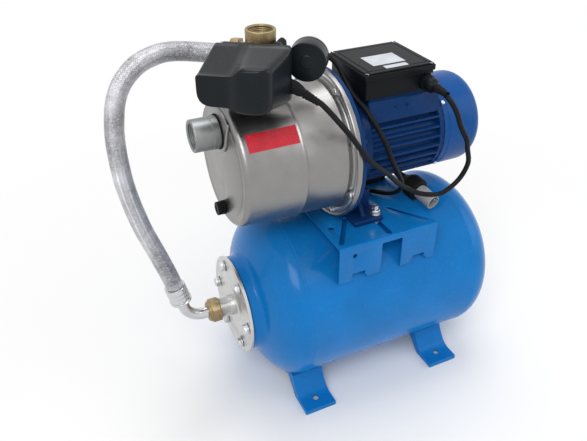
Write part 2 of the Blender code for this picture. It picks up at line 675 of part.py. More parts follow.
def casing_screws():
    """Eight cap screws on one thin clamping ring, through casing, plate and motor bracket."""
    seat = CASING_BACK + CASING_STEEL + TOUCH
    middle = CASING_SCREW_CIRCLE
    ring = lathe("casing_screws", [(seat, middle - 0.0032), (seat, middle + 0.0032), (seat + 0.0008, middle + 0.0032),
                                   (seat + 0.0008, middle - 0.0032)], "zinc", pump_origin(), AHEAD, steps=32)
    for k, (y, z) in enumerate(casing_screw_places()):
        origin = (JOINT_X, y, PUMP_Z + z)
        join(ring, hex_bar(f"guide_screw_head_{k}", 0.008, seat + 0.0004, seat + 0.0045, "zinc", origin, AHEAD),
             rod(f"guide_screw_shank_{k}", 0.0025, -0.0045, seat + 0.002, "zinc", origin, AHEAD, steps=6))
    return ring


def suction_fittings():
    """The inlet port held in the casing's front, and the rubber ring that seals it."""
    origin = (JOINT_X, 0, PUMP_Z + SUCTION_HEIGHT)
    face = CASING_LENGTH
    inside = face - CASING_STEEL - TOUCH - 0.0008
    end = face + SUCTION_LENGTH
    outer, bore = SUCTION_RADIUS, SUCTION_BORE
    lathe("suction_port", [(inside - 0.0055, bore), (inside - 0.0055, outer), (inside - 0.0035, outer + 0.0018),
                           (inside, outer + 0.0018), (inside, outer), (end - 0.001, outer), (end, outer - 0.001),
                           (end, bore + 0.0015), (end - 0.003, bore)], "cast_port", origin, AHEAD, steps=24)
    ring = outer + TOUCH
    seat = face + SUCTION_BOSS_RISE
    lathe("suction_seal", [(seat + TOUCH, ring), (seat + TOUCH, ring + 0.0022), (seat + 0.0018, ring + 0.0030),
                           (seat + 0.0030, ring + 0.0018), (seat + 0.0030, ring)], "black_rubber", origin, AHEAD, steps=20)


def drain_plug():
    """The hand plug at the bottom of the casing's front."""
    face = CASING_LENGTH + TOUCH
    head = DRAIN_RADIUS
    end = face + DRAIN_HEAD
    profile = [(face - 0.006, 0), (face - 0.006, 0.006), (face, 0.006), (face, head), (face + 0.004, head),
               (face + 0.004, head - 0.001), (end - 0.0015, head - 0.0016), (end, head - 0.0032), (end, 0)]
    return lathe("drain_plug", profile, "black_plastic", (JOINT_X, 0, PUMP_Z - DRAIN_DROP), AHEAD, steps=16, ring=False)


def pump_insides():
    """Ejector, diffuser, impeller and the shaft's seal, measured ahead of the joint."""
    origin = pump_origin()
    back, front = 0.020, 0.0315
    bore = SHAFT_NOSE_RADIUS + TOUCH
    wall = IMPELLER_RADIUS + 0.0105
    cup = front + 0.003
    lathe("diffuser", [(cup + 0.0025, 0.0195), (cup + 0.0025, wall + 0.0035), (0.012, wall + 0.0035), (0.012, wall),
                       (cup, wall), (cup, 0.0195)], "noryl", origin, AHEAD, steps=20)
    start = cup + 0.0025 + TOUCH
    end = CASING_LENGTH - 0.012
    throat = start + 0.55 * (end - start)
    lathe("ejector", [(start, 0.0165), (start, 0.0205), (start + 0.006, 0.0205), (throat, 0.0115), (throat + 0.012, 0.0115),
                      (end, 0.0200), (end, 0.0155), (throat + 0.010, 0.0070), (throat, 0.0070)],
          "noryl", origin, AHEAD, steps=16)
    impeller = lathe("impeller", [(back, bore), (back, IMPELLER_RADIUS), (back + 0.002, IMPELLER_RADIUS), (back + 0.003, 0.016),
                                  (front, 0.0135), (front, bore)], "noryl", origin, AHEAD, steps=20)
    shroud = lathe("guide_shroud", [(front - 0.002, 0.0185), (front - 0.002, IMPELLER_RADIUS), (front, IMPELLER_RADIUS),
                                    (front, 0.0185)], "noryl", origin, AHEAD, steps=20)
    join(impeller, shroud)
    for k, a in enumerate(around(IMPELLER_VANES)):
        turn = Matrix.Translation(origin) @ Matrix.Rotation(a, 4, "X")
        vane = block(f"guide_vane_{k}", (-front + 0.001, 0.017, -0.010), (-back - 0.001, IMPELLER_RADIUS - 0.003, -0.0075),
                     "noryl", frame=turn @ Matrix.Rotation(radians(14), 4, "X"))
        join(impeller, vane)
    lathe("shaft_seal_seat", [(TOUCH, bore + 0.0008), (TOUCH, SEAL_RADIUS), (0.006, SEAL_RADIUS), (0.006, bore + 0.0008)],
          "ceramic", origin, AHEAD, steps=20)
    lathe("shaft_seal_head", [(0.006 + TOUCH, bore), (0.006 + TOUCH, SEAL_RADIUS - 0.001), (0.010, SEAL_RADIUS - 0.001),
                              (0.010, SEAL_RADIUS - 0.0025), (0.015, SEAL_RADIUS - 0.0025), (0.015, SEAL_RADIUS),
                              (back - 0.001, SEAL_RADIUS), (back - 0.001, bore)],
          "black_rubber", origin, AHEAD, steps=20)
    plate = lathe("seal_plate", [(TOUCH, SEAL_RADIUS + TOUCH), (TOUCH, CASING_FLANGE_RADIUS - 0.0017),
                                 (TOUCH + SEAL_PLATE_THICKNESS, CASING_FLANGE_RADIUS - 0.0017),
                                 (TOUCH + SEAL_PLATE_THICKNESS, SEAL_RADIUS + TOUCH)], "stainless", origin, AHEAD, steps=30)
    for k, (y, z) in enumerate(casing_screw_places()):
        cut(plate, rod(f"guide_plate_screw_{k}", 0.0025 + TOUCH, -0.005, 0.01, "steel", (JOINT_X, y, PUMP_Z + z), AHEAD, steps=6))
    inner = CASING_MOUTH_RADIUS - CASING_STEEL - TOUCH - 0.0003
    lathe("casing_gasket", [(CASING_BACK, inner - 0.0026), (CASING_BACK, inner), (CASING_BACK + 0.0026, inner),
                            (CASING_BACK + 0.0026, inner - 0.0026)], "black_rubber", origin, AHEAD, steps=24)


def motor_bracket():
    """The cast front end shield, with the bearing's seat and the foot. Measured back from the joint."""
    depth = BRACKET_DEPTH
    rim = CASING_FLANGE_RADIUS - 0.0017
    seat = BEARING_RADIUS + TOUCH
    hub = seat + 0.0042
    spigot = MOTOR_FIN_RADIUS
    bell = [(0, SHAFT_RADIUS + 0.001), (0, rim), (0.006, rim), (0.0105, rim - 0.0125), (depth - 0.012, spigot + 0.0005),
            (depth, spigot), (depth, spigot - 0.0105), (depth - 0.008, spigot - 0.0125), (0.0135, spigot - 0.0125),
            (0.012, hub + 0.004), (0.012, hub), (depth - 0.001, hub), (depth - 0.001, seat),
            (FRONT_BEARING - TOUCH, seat), (FRONT_BEARING - TOUCH, SHAFT_RADIUS + 0.001)]
    bracket = lathe("motor_bracket", bell, "navy_paint", pump_origin(), BACK, steps=32)
    foot_start = JOINT_X + FOOT_BASE_FROM_JOINT
    foot_end = foot_start + FOOT_BASE_LENGTH
    base_z = BRACKET_TOP_Z + TOUCH
    half = FOOT_BASE_HALF_WIDTH
    base = block("guide_foot_base", (foot_start, -half, base_z), (foot_end, half, base_z + FOOT_BASE_THICKNESS), "navy_paint", edge=0.001)
    motor_floor = PUMP_Z - MOTOR_FIN_RADIUS
    low_block = block("guide_foot_block", (foot_start + 0.004, -0.5 * half, base_z + 0.004),
                      (foot_end - 0.004, 0.5 * half, motor_floor - 0.005), "navy_paint")
    web = block("guide_foot_web", (foot_start + 0.005, -0.6 * half, base_z + 0.003),
                (JOINT_X + depth - 0.0006, 0.6 * half, motor_floor + 0.0055), "navy_paint")
    join(bracket, web, low_block, base)
    for side in (-1, 1):
        cut(bracket, rod(f"guide_foot_hole_{side}", FOOT_BOLT_RADIUS + TOUCH, -0.01, 0.02, "steel",
                         (JOINT_X + FOOT_BOLT_FROM_JOINT, side * FOOT_BOLT_Y, base_z), UP, steps=12))
    for k, (y, z) in enumerate(casing_screw_places()):
        cut(bracket, rod(f"guide_bracket_screw_{k}", 0.0025 + TOUCH, -0.005, 0.0052, "steel", (JOINT_X, y, PUMP_Z + z), BACK, steps=6))
    return bracket


def foot_bolts():
    """A stud with nut and washer through each side of the foot and its slot in the plate."""
    seat = TOUCH + FOOT_BASE_THICKNESS + TOUCH
    for side, name in ((-1, "foot_bolt_near"), (1, "foot_bolt_far")):
        origin = Vector((JOINT_X + FOOT_BOLT_FROM_JOINT, side * FOOT_BOLT_Y, BRACKET_TOP_Z))
        bolt = rod(name, FOOT_BOLT_RADIUS, -BRACKET_STEEL - 0.0035, seat + 0.014, "zinc", origin, UP, steps=12)
        join(bolt, rod(f"guide_{name}_washer", 0.0075, seat, seat + 0.0015, "zinc", origin, UP, steps=16),
             hex_bar(f"guide_{name}_nut", 0.012, seat + 0.001, seat + 0.0075, "zinc", origin, UP),
             hex_bar(f"guide_{name}_head", 0.012, -BRACKET_STEEL - 0.0043, -BRACKET_STEEL - TOUCH, "zinc", origin, UP))


def motor_housing():
    """The finned shell: fins along the motor, and a flat saddle on top for the terminal box."""
    outline = []
    for a in around(MOTOR_FINS, pi / 2):
        for radius, off in ((MOTOR_SKIN, -0.048), (MOTOR_FIN_RADIUS, -0.026), (MOTOR_FIN_RADIUS, 0.026), (MOTOR_SKIN, 0.048)):
            outline.append((radius * cos(a + off), radius * sin(a + off)))
    start = JOINT_X + HOUSING_START
    housing = prism("motor_housing", outline, MOTOR_LENGTH, "navy_paint", framed((start, 0, PUMP_Z), (0, 1, 0), (0, 0, 1)))
    join(housing, block("guide_saddle", (start + 0.002, -BOX_HALF_WIDTH + 0.004, PUMP_Z + 0.035),
                        (start + MOTOR_LENGTH - 0.006, BOX_HALF_WIDTH - 0.004, PUMP_Z + SADDLE_TOP), "navy_paint", edge=0.002))
    cut(housing, rod("guide_motor_bore", MOTOR_BORE, -0.01, MOTOR_LENGTH + 0.01, "navy_paint", (start, 0, PUMP_Z), BACK, steps=40))
    return housing


def motor_insides():
    """Stator, winding, rotor and shaft, measured back from the joint."""
    origin = pump_origin()
    start, end = CORE_START, CORE_START + CORE_LENGTH
    lathe("stator_core", [(start, STATOR_BORE), (start, MOTOR_BORE - TOUCH), (end, MOTOR_BORE - TOUCH), (end, STATOR_BORE)],
          "core_steel", origin, BACK, steps=20)
    gap = ROTOR_RADIUS + RUN
    coil, head = STATOR_BORE - TOUCH, MOTOR_BORE - 0.004
    lathe("stator_winding", [(start - 0.013, gap), (start - 0.013, head), (start - TOUCH, head), (start - TOUCH, coil),
                             (end + TOUCH, coil), (end + TOUCH, head), (end + 0.013, head), (end + 0.013, gap)],
          "copper", origin, BACK, steps=20)
    lathe("rotor_core", [(start, SHAFT_RADIUS + TOUCH), (start, ROTOR_RADIUS), (end, ROTOR_RADIUS), (end, SHAFT_RADIUS + TOUCH)],
          "core_steel", origin, BACK, steps=20)
    nose = -0.0315 - TOUCH
    rear_step = REAR_BEARING + BEARING_WIDTH + 0.0002
    fan_end = COWL_START + 0.050
    shaft = lathe("motor_shaft", [(nose - 0.006, 0), (nose - 0.006, 0.0048), (nose - 0.0052, 0.0048), (nose - 0.0052, 0.009),
                                  (nose, 0.009), (nose, SHAFT_NOSE_RADIUS), (0.016, SHAFT_NOSE_RADIUS), (0.016, SHAFT_RADIUS),
                                  (rear_step, SHAFT_RADIUS), (rear_step, SHAFT_NOSE_RADIUS), (fan_end, SHAFT_NOSE_RADIUS), (fan_end, 0)],
                  "steel", origin, BACK, steps=16, ring=False)
    return shaft


def bearing(name, start):
    """A deep-groove ball bearing: outer ring, inner ring, and the cage with its balls."""
    origin = pump_origin()
    end = start + BEARING_WIDTH
    outer, inner = BEARING_RADIUS, SHAFT_RADIUS + TOUCH
    ball = BALL_RADIUS
    pitch = (outer + inner) / 2
    lathe(f"{name}_outer_ring", [(start, pitch + ball + TOUCH), (start, outer), (end, outer), (end, pitch + ball + TOUCH)],
          "steel", origin, BACK, steps=20)
    lathe(f"{name}_inner_ring", [(start, inner), (start, pitch - ball - TOUCH), (end, pitch - ball - TOUCH), (end, inner)],
          "steel", origin, BACK, steps=16)
    middle = (start + end) / 2
    cage = lathe(f"{name}_cage", [(middle - 0.0012, pitch - 0.0007), (middle - 0.0012, pitch + 0.0007),
                                  (middle + 0.0012, pitch + 0.0007), (middle + 0.0012, pitch - 0.0007)],
                 "brass", origin, BACK, steps=16)
    for k, a in enumerate(around(BALLS)):
        shape = bmesh.new()
        bmesh.ops.create_uvsphere(shape, u_segments=6, v_segments=4, radius=ball)
        where = origin + Vector((middle, pitch * cos(a), pitch * sin(a)))
        join(cage, place(f"guide_{name}_ball_{k}", shape, "steel", Matrix.Translation(where)))


def rear_endshield():
    """The rear end shield with the other bearing's seat."""
    start = ENDSHIELD_START
    end = start + ENDSHIELD_THICKNESS
    seat = BEARING_RADIUS + TOUCH
    stop = REAR_BEARING + BEARING_WIDTH + TOUCH
    rim = MOTOR_FIN_RADIUS - 0.0005
    return lathe("rear_endshield", [(start, seat), (start, rim), (end, rim), (end, seat + 0.007), (stop + 0.002, seat + 0.0042),
                                    (stop + 0.002, SHAFT_RADIUS + 0.001), (stop, SHAFT_RADIUS + 0.001), (stop, seat)],
                 "navy_paint", pump_origin(), BACK, steps=28)


def cooling_fan():
    """The plastic fan on the shaft's tail: hub, back plate and straight blades."""
    origin = pump_origin()
    start = COWL_START + 0.022
    bore = SHAFT_NOSE_RADIUS + TOUCH
    fan = lathe("cooling_fan", [(start, bore), (start, FAN_RADIUS - 0.008), (start + 0.002, FAN_RADIUS - 0.008),
                                (start + 0.003, bore + 0.008), (start + 0.024, bore + 0.006), (start + 0.024, bore)],
                "noryl", origin, BACK, steps=20)
    for k, a in enumerate(around(FAN_BLADES)):
        turn = Matrix.Translation(origin) @ Matrix.Rotation(a, 4, "X")
        join(fan, block(f"guide_blade_{k}", (start + 0.001, bore + 0.004, -0.001), (start + 0.020, FAN_RADIUS, 0.001), "noryl", frame=turn))
    return fan


def fan_cover():
    """The drawn cowl over the fan, with a slotted rear face."""
    start, end, steel, corner = COWL_START, COWL_END, COWL_STEEL, COWL_ROUND
    radius = COWL_RADIUS
    angles = [radians(k * 22.5) for k in range(5)]
    outer = [(start, radius)] + [(end - corner + corner * sin(a), radius - corner + corner * cos(a)) for a in angles]
    thin = corner - steel
    inner = [(end - corner + thin * sin(a), radius - corner + thin * cos(a)) for a in angles[::-2]] + [(start, radius - steel)]
    cover = lathe("fan_cover", outer + [(end, 0), (end - steel, 0)] + inner, "cowl_blue", pump_origin(), BACK, steps=36)
    for k, a in enumerate(around(6, radians(5))):
        turn = Matrix.Translation(pump_origin()) @ Matrix.Rotation(a, 4, "X")
        cut(cover, block(f"guide_grille_{k}", (end - 0.006, 0.014, -0.0022), (end + 0.006, radius - corner - 0.003, 0.0022), "steel", frame=turn))
    return cover


def terminal_box():
    """The connection box on the motor: tray, lid, gland and the capacitor inside."""
    start, end = BOX_START_X, BOX_START_X + BOX_LENGTH
    half, wall = BOX_HALF_WIDTH, BOX_WALL
    tray = block("terminal_box", (start, -half, BOX_BOTTOM_Z), (end, half, BOX_TOP_Z), "black_plastic")
    cut(tray, block("guide_tray", (start + wall, -half + wall, BOX_BOTTOM_Z + wall), (end - wall, half - wall, BOX_TOP_Z + 0.01), "black_plastic"))
    gland_x = end - GLAND_FROM_BOX_END
    gland_z = BOX_BOTTOM_Z + 0.0125
    cut(tray, rod("guide_gland_hole", 0.008 + TOUCH, -0.01, 0.01, "steel", (gland_x, -half, gland_z), (0, -1, 0)))
    over = LID_OVERHANG
    low = BOX_TOP_Z + TOUCH
    lid = block("terminal_box_lid", (start - over, -half - over, low), (end + over, half + over, LID_TOP_Z), "black_plastic", edge=0.0015)
    cut(lid, block("guide_lid", (start + wall, -half + wall, low - 0.01), (end - wall, half - wall, LID_TOP_Z - wall), "black_plastic"))
    mouth = half + 0.026
    lathe("box_gland", [(half - 0.004, 0), (half - 0.004, 0.008), (half + TOUCH, 0.008), (half + TOUCH, 0.0108), (half + 0.009, 0.0108),
                        (half + 0.010, 0.0098), (mouth - 0.006, 0.0098), (mouth, 0.0060), (mouth, 0)],
          "black_plastic", (gland_x, 0, gland_z), (0, -1, 0), steps=16, ring=False)
    radius = CAPACITOR_RADIUS
    rod("capacitor", radius, 0.012, BOX_LENGTH - 0.030, "zinc", (start, 0.018, BOX_BOTTOM_Z + wall + radius + TOUCH), BACK, steps=20)


def five_way_fitting():
    """The brass fitting on the discharge: outlet on top, a side port for the hose, and two small ports."""
    origin = Vector((FITTING_X, 0, PUMP_Z))
    seat = DISCHARGE_HEIGHT + TOUCH
    top, body, outlet = FITTING_TOP, FITTING_RADIUS, OUTLET_RADIUS
    thread = DISCHARGE_BORE - TOUCH
    fitting = lathe("five_way_fitting", [(seat - 0.014, PORT_BORE), (seat - 0.014, thread), (seat, thread), (seat, body + 0.002),
                                         (seat + 0.008, body + 0.002), (seat + 0.009, body), (top - 0.022, body), (top - 0.020, outlet),
                                         (top, outlet), (top, OUTLET_BORE), (top - 0.018, OUTLET_BORE), (top - 0.020, PORT_BORE)],
                    "brass", origin, UP, steps=24)
    port = origin + Vector((0, 0, PORT_HEIGHT))
    inside = body - 0.003
    join(fitting, rod("guide_hose_port", PORT_RADIUS, inside, PORT_LENGTH, "brass", port, HOSE_WAY, steps=20),
         rod("guide_gauge_port", SMALL_PORT_RADIUS, inside, SMALL_PORT_LENGTH, "brass", port, GAUGE_WAY, steps=12),
         rod("guide_switch_port", SMALL_PORT_RADIUS, inside, SMALL_PORT_LENGTH, "brass", port, SWITCH_WAY, steps=12))
    return cut(fitting, rod("guide_hose_port_bore", PORT_BORE - 0.001, 0.004, PORT_LENGTH + 0.01, "brass", port, HOSE_WAY, steps=20))


def pressure_gauge():
    """A round gauge whose dial plane holds the port's axis. Measured along the dial's normal."""
    middle = Vector((FITTING_X, 0, PORT_Z)) + GAUGE_REACH * GAUGE_WAY
    normal = -SWITCH_WAY
    half, radius, wall = GAUGE_DEPTH / 2, GAUGE_RADIUS, GAUGE_WALL
    inside = radius - wall
    case = lathe("gauge_case", [(-half, 0), (-half, radius - 0.002), (-half + 0.002, radius), (half, radius), (half, inside),
                                (-half + 0.004, inside), (-half + 0.004, 0)], "black_plastic", middle, normal, steps=28, ring=False)
    port_end = Vector((FITTING_X, 0, PORT_Z)) + (SMALL_PORT_LENGTH + TOUCH) * GAUGE_WAY
    join(case, rod("guide_gauge_stem", 0.0065, 0, GAUGE_REACH - radius - SMALL_PORT_LENGTH + 0.0015, "brass", port_end, GAUGE_WAY, steps=12))
    dial = inside - TOUCH
    face = half - 0.0075
    lathe("gauge_dial", [(face, 0.0012 + RUN), (face, dial), (face + 0.001, dial), (face + 0.001, 0.0012 + RUN)],
          "dial_white", middle, normal, steps=24)
    lathe("gauge_lens", [(half - 0.0022, 0), (half - 0.0022, dial), (half - 0.0005, dial), (half - 0.0005, 0)],
          "glass", middle, normal, steps=24, ring=False)
    pointer = rod("gauge_pointer", 0.0012, face - 0.003, face + 0.0032, "pointer_red", middle, normal, steps=10)
    frame = framed(middle, UP.cross(normal), UP) @ Matrix.Rotation(radians(135), 4, "Z")
    tip = dial - 0.004
    needle = prism("guide_needle", [(-0.0022, -0.006), (0.0022, -0.006), (0.0022, 0.002), (0.0004, tip), (-0.0004, tip), (-0.0022, 0.002)],
                   0.0008, "pointer_red", frame @ Matrix.Translation((0, 0, face + 0.0022)))
    join(pointer, needle)


# The switch cover's outline, across and up from its middle, at the front and at the back
COVER_FRONT = [(-0.050, 0.0130), (-0.0485, 0.0158), (-0.046, 0.0165), (-0.012, 0.0165), (0.002, 0.0285), (0.028, 0.0285),
               (0.0345, 0.0255), (0.0365, 0.0190), (0.0365, -0.0165), (0.0345, -0.0230), (0.028, -0.0255), (0.003, -0.0255),
               (-0.011, -0.0200), (-0.036, -0.0200), (-0.0455, -0.0145), (-0.050, -0.004)]
COVER_BACK = [(-0.0445, 0.0250), (-0.043, 0.0310), (-0.0385, 0.0335), (-0.012, 0.0335), (0.002, 0.0335), (0.038, 0.0335),
              (0.0450, 0.0310), (0.047, 0.0240), (0.047, -0.0240), (0.0450, -0.0310), (0.038, -0.0335), (0.003, -0.0335),
              (-0.011, -0.0335), (-0.031, -0.0335), (-0.0410, -0.0290), (-0.0445, -0.018)]


def switch_frame():
    """Local X across the switch, local Y up and local Z out from the fitting."""
    origin = Vector((FITTING_X, 0, SWITCH_Z))
    return framed(origin, GAUGE_WAY, UP)


def side_gland_place():
    """Where the switch's side gland leaves the base, and the way that it points: outwards and down."""
    side = switch_frame() @ Vector((0.043, -0.0155, SWITCH_BASE_BACK + SIDE_GLAND_DEPTH))
    return side, cos(SIDE_GLAND_DROOP) * GAUGE_WAY - sin(SIDE_GLAND_DROOP) * UP


def shrunk(loop, by, depth):
    """A loop pulled in towards its middle by a distance, at a depth."""
    out = []
    for u, v in loop:
        away = sqrt(u * u + v * v)
        share = (away - by) / away
        out.append((u * share, v * share, depth))
    return out


def pressure_switch():
    """The pressure switch: base with its nut and two glands, stepped cover, lever and spring."""
    frame = switch_frame()
    back, deep = SWITCH_BASE_BACK, SWITCH_BASE_BACK + SWITCH_BASE_DEPTH
    base = block("switch_base", (-0.039, -0.031, back), (0.044, 0.031, deep), "black_plastic", edge=0.002, frame=frame)
    port = Vector((FITTING_X, 0, PORT_Z))
    join(base, hex_bar("guide_switch_nut", 0.022, SMALL_PORT_LENGTH + TOUCH, back + 0.001, "zinc", port, SWITCH_WAY))
    gland = SWITCH_GLAND_RADIUS
    side, way = side_gland_place()
    join(base, lathe("guide_side_gland", [(-0.004, 0), (-0.004, gland), (0.011, gland), (0.0195, 0.0055), (0.0195, 0)],
                     "black_plastic", side, way, steps=16, ring=False))
    rear = frame @ Vector((REAR_GLAND, REAR_GLAND_RISE, back + 0.001))
    join(base, lathe("guide_rear_gland", [(0, 0), (0, gland), (0.008, gland), (0.0145, 0.0055), (0.0145, 0)], "black_plastic",
                     rear, -SWITCH_WAY, steps=16, ring=False))
    seat = deep + TOUCH
    front = deep + SWITCH_COVER_DEPTH
    wall = SWITCH_WALL
    loops = [shrunk(COVER_FRONT, wall + 0.001, front - wall), shrunk(COVER_BACK, wall, seat), shrunk(COVER_BACK, 0, seat),
             shrunk(COVER_FRONT, 0, front - 0.0025), shrunk(COVER_FRONT, 0.0016, front)]
    loft("switch_cover", loops, "black_plastic", frame)
    stud = frame @ Vector((SPRING_PLACE, 0, deep))
    join(base, rod("guide_spring_stud", 0.0022, -0.001, 0.050, "zinc", stud, SWITCH_WAY, steps=8),
         hex_bar("guide_spring_nut", 0.013, LEVER_HEIGHT + 2 * TOUCH + SPRING_LENGTH, LEVER_HEIGHT + SPRING_LENGTH + 0.006, "zinc", stud, SWITCH_WAY))
    low, high = LEVER_HEIGHT - LEVER_STEEL, LEVER_HEIGHT
    lever = block("switch_lever", (-0.028, -0.010, deep + low), (0.030, 0.010, deep + high), "zinc", frame=frame)
    pin = rod("guide_lever_pin", 0.003, -0.013, 0.013, "zinc", frame @ Vector((LEVER_PIVOT, 0, deep + high - 0.001)), UP, steps=10)
    join(lever, pin)
    cut(lever, rod("guide_lever_hole", 0.0045, low - 0.003, high + 0.003, "zinc", stud, SWITCH_WAY, steps=10))
    turns = 4
    pitch = SPRING_LENGTH / turns
    spring = [(0, 0.0050)]
    for k in range(turns):
        spring += [(k * pitch + 0.0012, 0.0078), (k * pitch + 0.0030, 0.0078), ((k + 1) * pitch, 0.0066)]
    spring += [(turns * pitch, 0.0050)]
    lathe("switch_spring", spring, "steel", stud + (high + TOUCH) * SWITCH_WAY, SWITCH_WAY, steps=12)


def hose_fittings():
    """The swaged hose ends: the straight one on the fitting, and the elbow with its nut on the tank."""
    port = Vector((FITTING_X, 0, PORT_Z))
    start, end = TOP_NUT_START, HOSE_START
    nut_end = start + TOP_NUT_LENGTH
    neck = HOSE_FERRULE_RADIUS - 0.003
    collar, ferrule = PORT_RADIUS + TOUCH, HOSE_FERRULE_RADIUS
    sealed = PORT_LENGTH + TOUCH + 0.0005
    top = lathe("hose_top_fitting", [(sealed, 0), (sealed, collar), (start, collar), (start, PORT_RADIUS + 0.0028),
                                     (nut_end + 0.001, PORT_RADIUS + 0.0028), (nut_end + 0.001, neck), (nut_end + 0.003, neck),
                                     (nut_end + 0.003, ferrule), (end, ferrule), (end, 0)],
                "chrome", port, HOSE_WAY, steps=20, ring=False)
    join(top, cut(hex_bar("guide_top_nut", TOP_NUT_FLATS, start, nut_end, "brass", port, HOSE_WAY),
                  rod("guide_top_nut_bore", PORT_RADIUS + 0.0015, start - 0.01, nut_end + 0.01, "brass", port, HOSE_WAY, steps=20)))
    stub_end = FLANGE_FACE_X - STUB_LENGTH
    seat = stub_end - TOUCH
    flare = 0.0025
    nut_back = stub_end + 0.0085
    nut_front = stub_end - 0.009
    origin = (0, 0, TANK_Z)
    nut = hex_bar("hose_nut", NUT_FLATS, -nut_back, -nut_front, "brass", origin, AHEAD)
    cut(nut, rod("guide_nut_thread", STUB_RADIUS + TOUCH, -nut_back - 0.01, -seat + flare + TOUCH, "brass", origin, AHEAD, steps=24),
        rod("guide_nut_hole", ELBOW_RADIUS + TOUCH, -seat, -nut_front + 0.01, "brass", origin, AHEAD, steps=20))
    line = elbow_line()
    elbow = swept("hose_elbow", line, ELBOW_RADIUS, "chrome")
    join(elbow, rod("guide_flare", STUB_RADIUS - 0.0008, -seat, -seat + flare, "chrome", origin, AHEAD, steps=20))
    tip = line[0]
    way = (line[0] - line[1]).normalized()
    ferrule = HOSE_FERRULE_RADIUS
    length = 0.030
    join(elbow, lathe("guide_ferrule", [(-0.010, 0), (-0.010, ferrule - 0.001), (-0.0085, ferrule + 0.0016), (-0.0065, ferrule + 0.0016),
                                        (-0.005, ferrule - 0.0008), (0, ferrule), (length - 0.010, ferrule - 0.0004), (length - 0.010, 0)],
                      "chrome", tip, way, steps=20, ring=False))


def elbow_line():
    """The chromed tube's middle line: down from the hose, round the bend and level into the tank's stub."""
    lean = radians(13.5)
    level_z = TANK_Z
    start_x = FLANGE_FACE_X - STUB_LENGTH - TOUCH
    bend_x = start_x - 0.014
    bend = ELBOW_BEND
    turn = pi / 2 - lean
    centre = Vector((bend_x, 0, level_z + bend))
    arc = [centre + bend * Vector((-sin(a), 0, -cos(a))) for a in [turn * k / 8 for k in range(9)]]
    end_way = Vector((-cos(turn), 0, sin(turn)))
    top = arc[-1] + 0.024 * end_way
    line = [Vector((start_x - 0.001, 0, level_z))] + arc + [top]
    return line[::-1]


def hose_route():
    """The braided hose's middle line, chosen by eye, from the fitting down to the elbow's ferrule."""
    start = Vector((FITTING_X, 0, PORT_Z)) + (HOSE_START + TOUCH) * HOSE_WAY
    elbow = elbow_line()
    way = (elbow[0] - elbow[1]).normalized()
    end = elbow[0] + (0.020 + TOUCH) * way
    middle = [(-0.2330, 0.0605, 0.5345), (-0.2537, 0.0595, 0.5340), (-0.2800, 0.0545, 0.5270),
              (-0.3018, 0.0480, 0.5110), (-0.3147, 0.0410, 0.4920), (-0.3215, 0.0340, 0.4705), (-0.3253, 0.0280, 0.4470),
              (-0.3263, 0.0210, 0.4170), (-0.3237, 0.0140, 0.3795), (-0.3135, 0.0070, 0.3275), (-0.2968, 0.0020, 0.2725)]
    level = [start, start + 0.012 * HOSE_WAY, start + 0.0253 * HOSE_WAY, start + 0.0413 * HOSE_WAY]
    return level + [Vector(p) for p in middle] + [end + 0.016 * way, end]


def motor_lead_route():
    """The lead from the switch's side gland, over the casing's rim, in a loop up to the terminal box."""
    side, way = side_gland_place()
    gland = side + (0.0195 + 2 * TOUCH) * way
    box = Vector((BOX_START_X + BOX_LENGTH - GLAND_FROM_BOX_END, -BOX_HALF_WIDTH - 0.026 - TOUCH, BOX_BOTTOM_Z + 0.0125))
    box.y -= TOUCH
    points = [gland + 0.012 * way, gland + 0.026 * way + Vector((0.0009, -0.0010, -0.0009)),
              (-0.0706, -0.1008, 0.4608), (-0.0549, -0.1050, 0.4385), (-0.0432, -0.1085, 0.4215), (-0.0275, -0.1065, 0.4057),
              (-0.0020, -0.0980, 0.3827), (0.0215, -0.0905, 0.3590), (0.0402, -0.0880, 0.3444), (0.0535, -0.0919, 0.3369),
              (0.0683, -0.0978, 0.3335), (0.0869, -0.0992, 0.3308), (0.1042, -0.0994, 0.3367), (0.1200, -0.1000, 0.3509),
              (0.1260, -0.1029, 0.3735), (0.1187, -0.1057, 0.3967), (0.1099, -0.1109, 0.4153), (0.0992, -0.1083, 0.4351),
              (0.0887, -0.1080, 0.4574), (0.0830, -0.1013, 0.4704), (0.0797, -0.0905, 0.4779), box + Vector((0, -0.0040, 0))]
    return [gland] + [Vector(p) for p in points] + [box]


def mains_lead_route():
    """The mains lead from the switch's rear gland, behind the gauge, down the motor and under it to the coil."""
    gland = switch_frame() @ Vector((REAR_GLAND, REAR_GLAND_RISE, SWITCH_BASE_BACK + 0.001 - 0.0145 - 2 * TOUCH))
    points = [gland - 0.010 * SWITCH_WAY, (-0.1136, -0.0102, 0.5512), (-0.1089, -0.0023, 0.5470), (-0.1055, 0.0043, 0.5406),
              (-0.0975, 0.0107, 0.5305), (-0.0834, 0.0154, 0.5232), (-0.0598, 0.0168, 0.5211), (-0.0422, 0.0089, 0.5167),
              (-0.0310, -0.0020, 0.5044), (-0.0255, -0.0148, 0.4867), (-0.0212, -0.0304, 0.4717), (-0.0145, -0.0485, 0.4599),
              (-0.0100, -0.0594, 0.4490), (-0.0038, -0.0684, 0.4355), (0.0050, -0.0765, 0.4150), (0.0165, -0.0785, 0.3880),
              (0.0300, -0.0750, 0.3640), (0.0420, -0.0680, 0.3450), (0.0500, -0.0580, 0.3280), (0.0530, -0.0430, 0.3120),
              (0.0505, -0.0260, 0.3010), (0.0435, -0.0090, 0.2955), (0.0335, 0.0080, 0.2936), (0.0262, 0.0215, 0.2934)]
    end = Vector((COIL_X - COIL_MEAN_RADIUS, COIL_Y - 0.0302, COIL_Z + LEAD_DIAMETER / 2 + TOUCH))
    return [gland] + [Vector(p) for p in points] + [end]


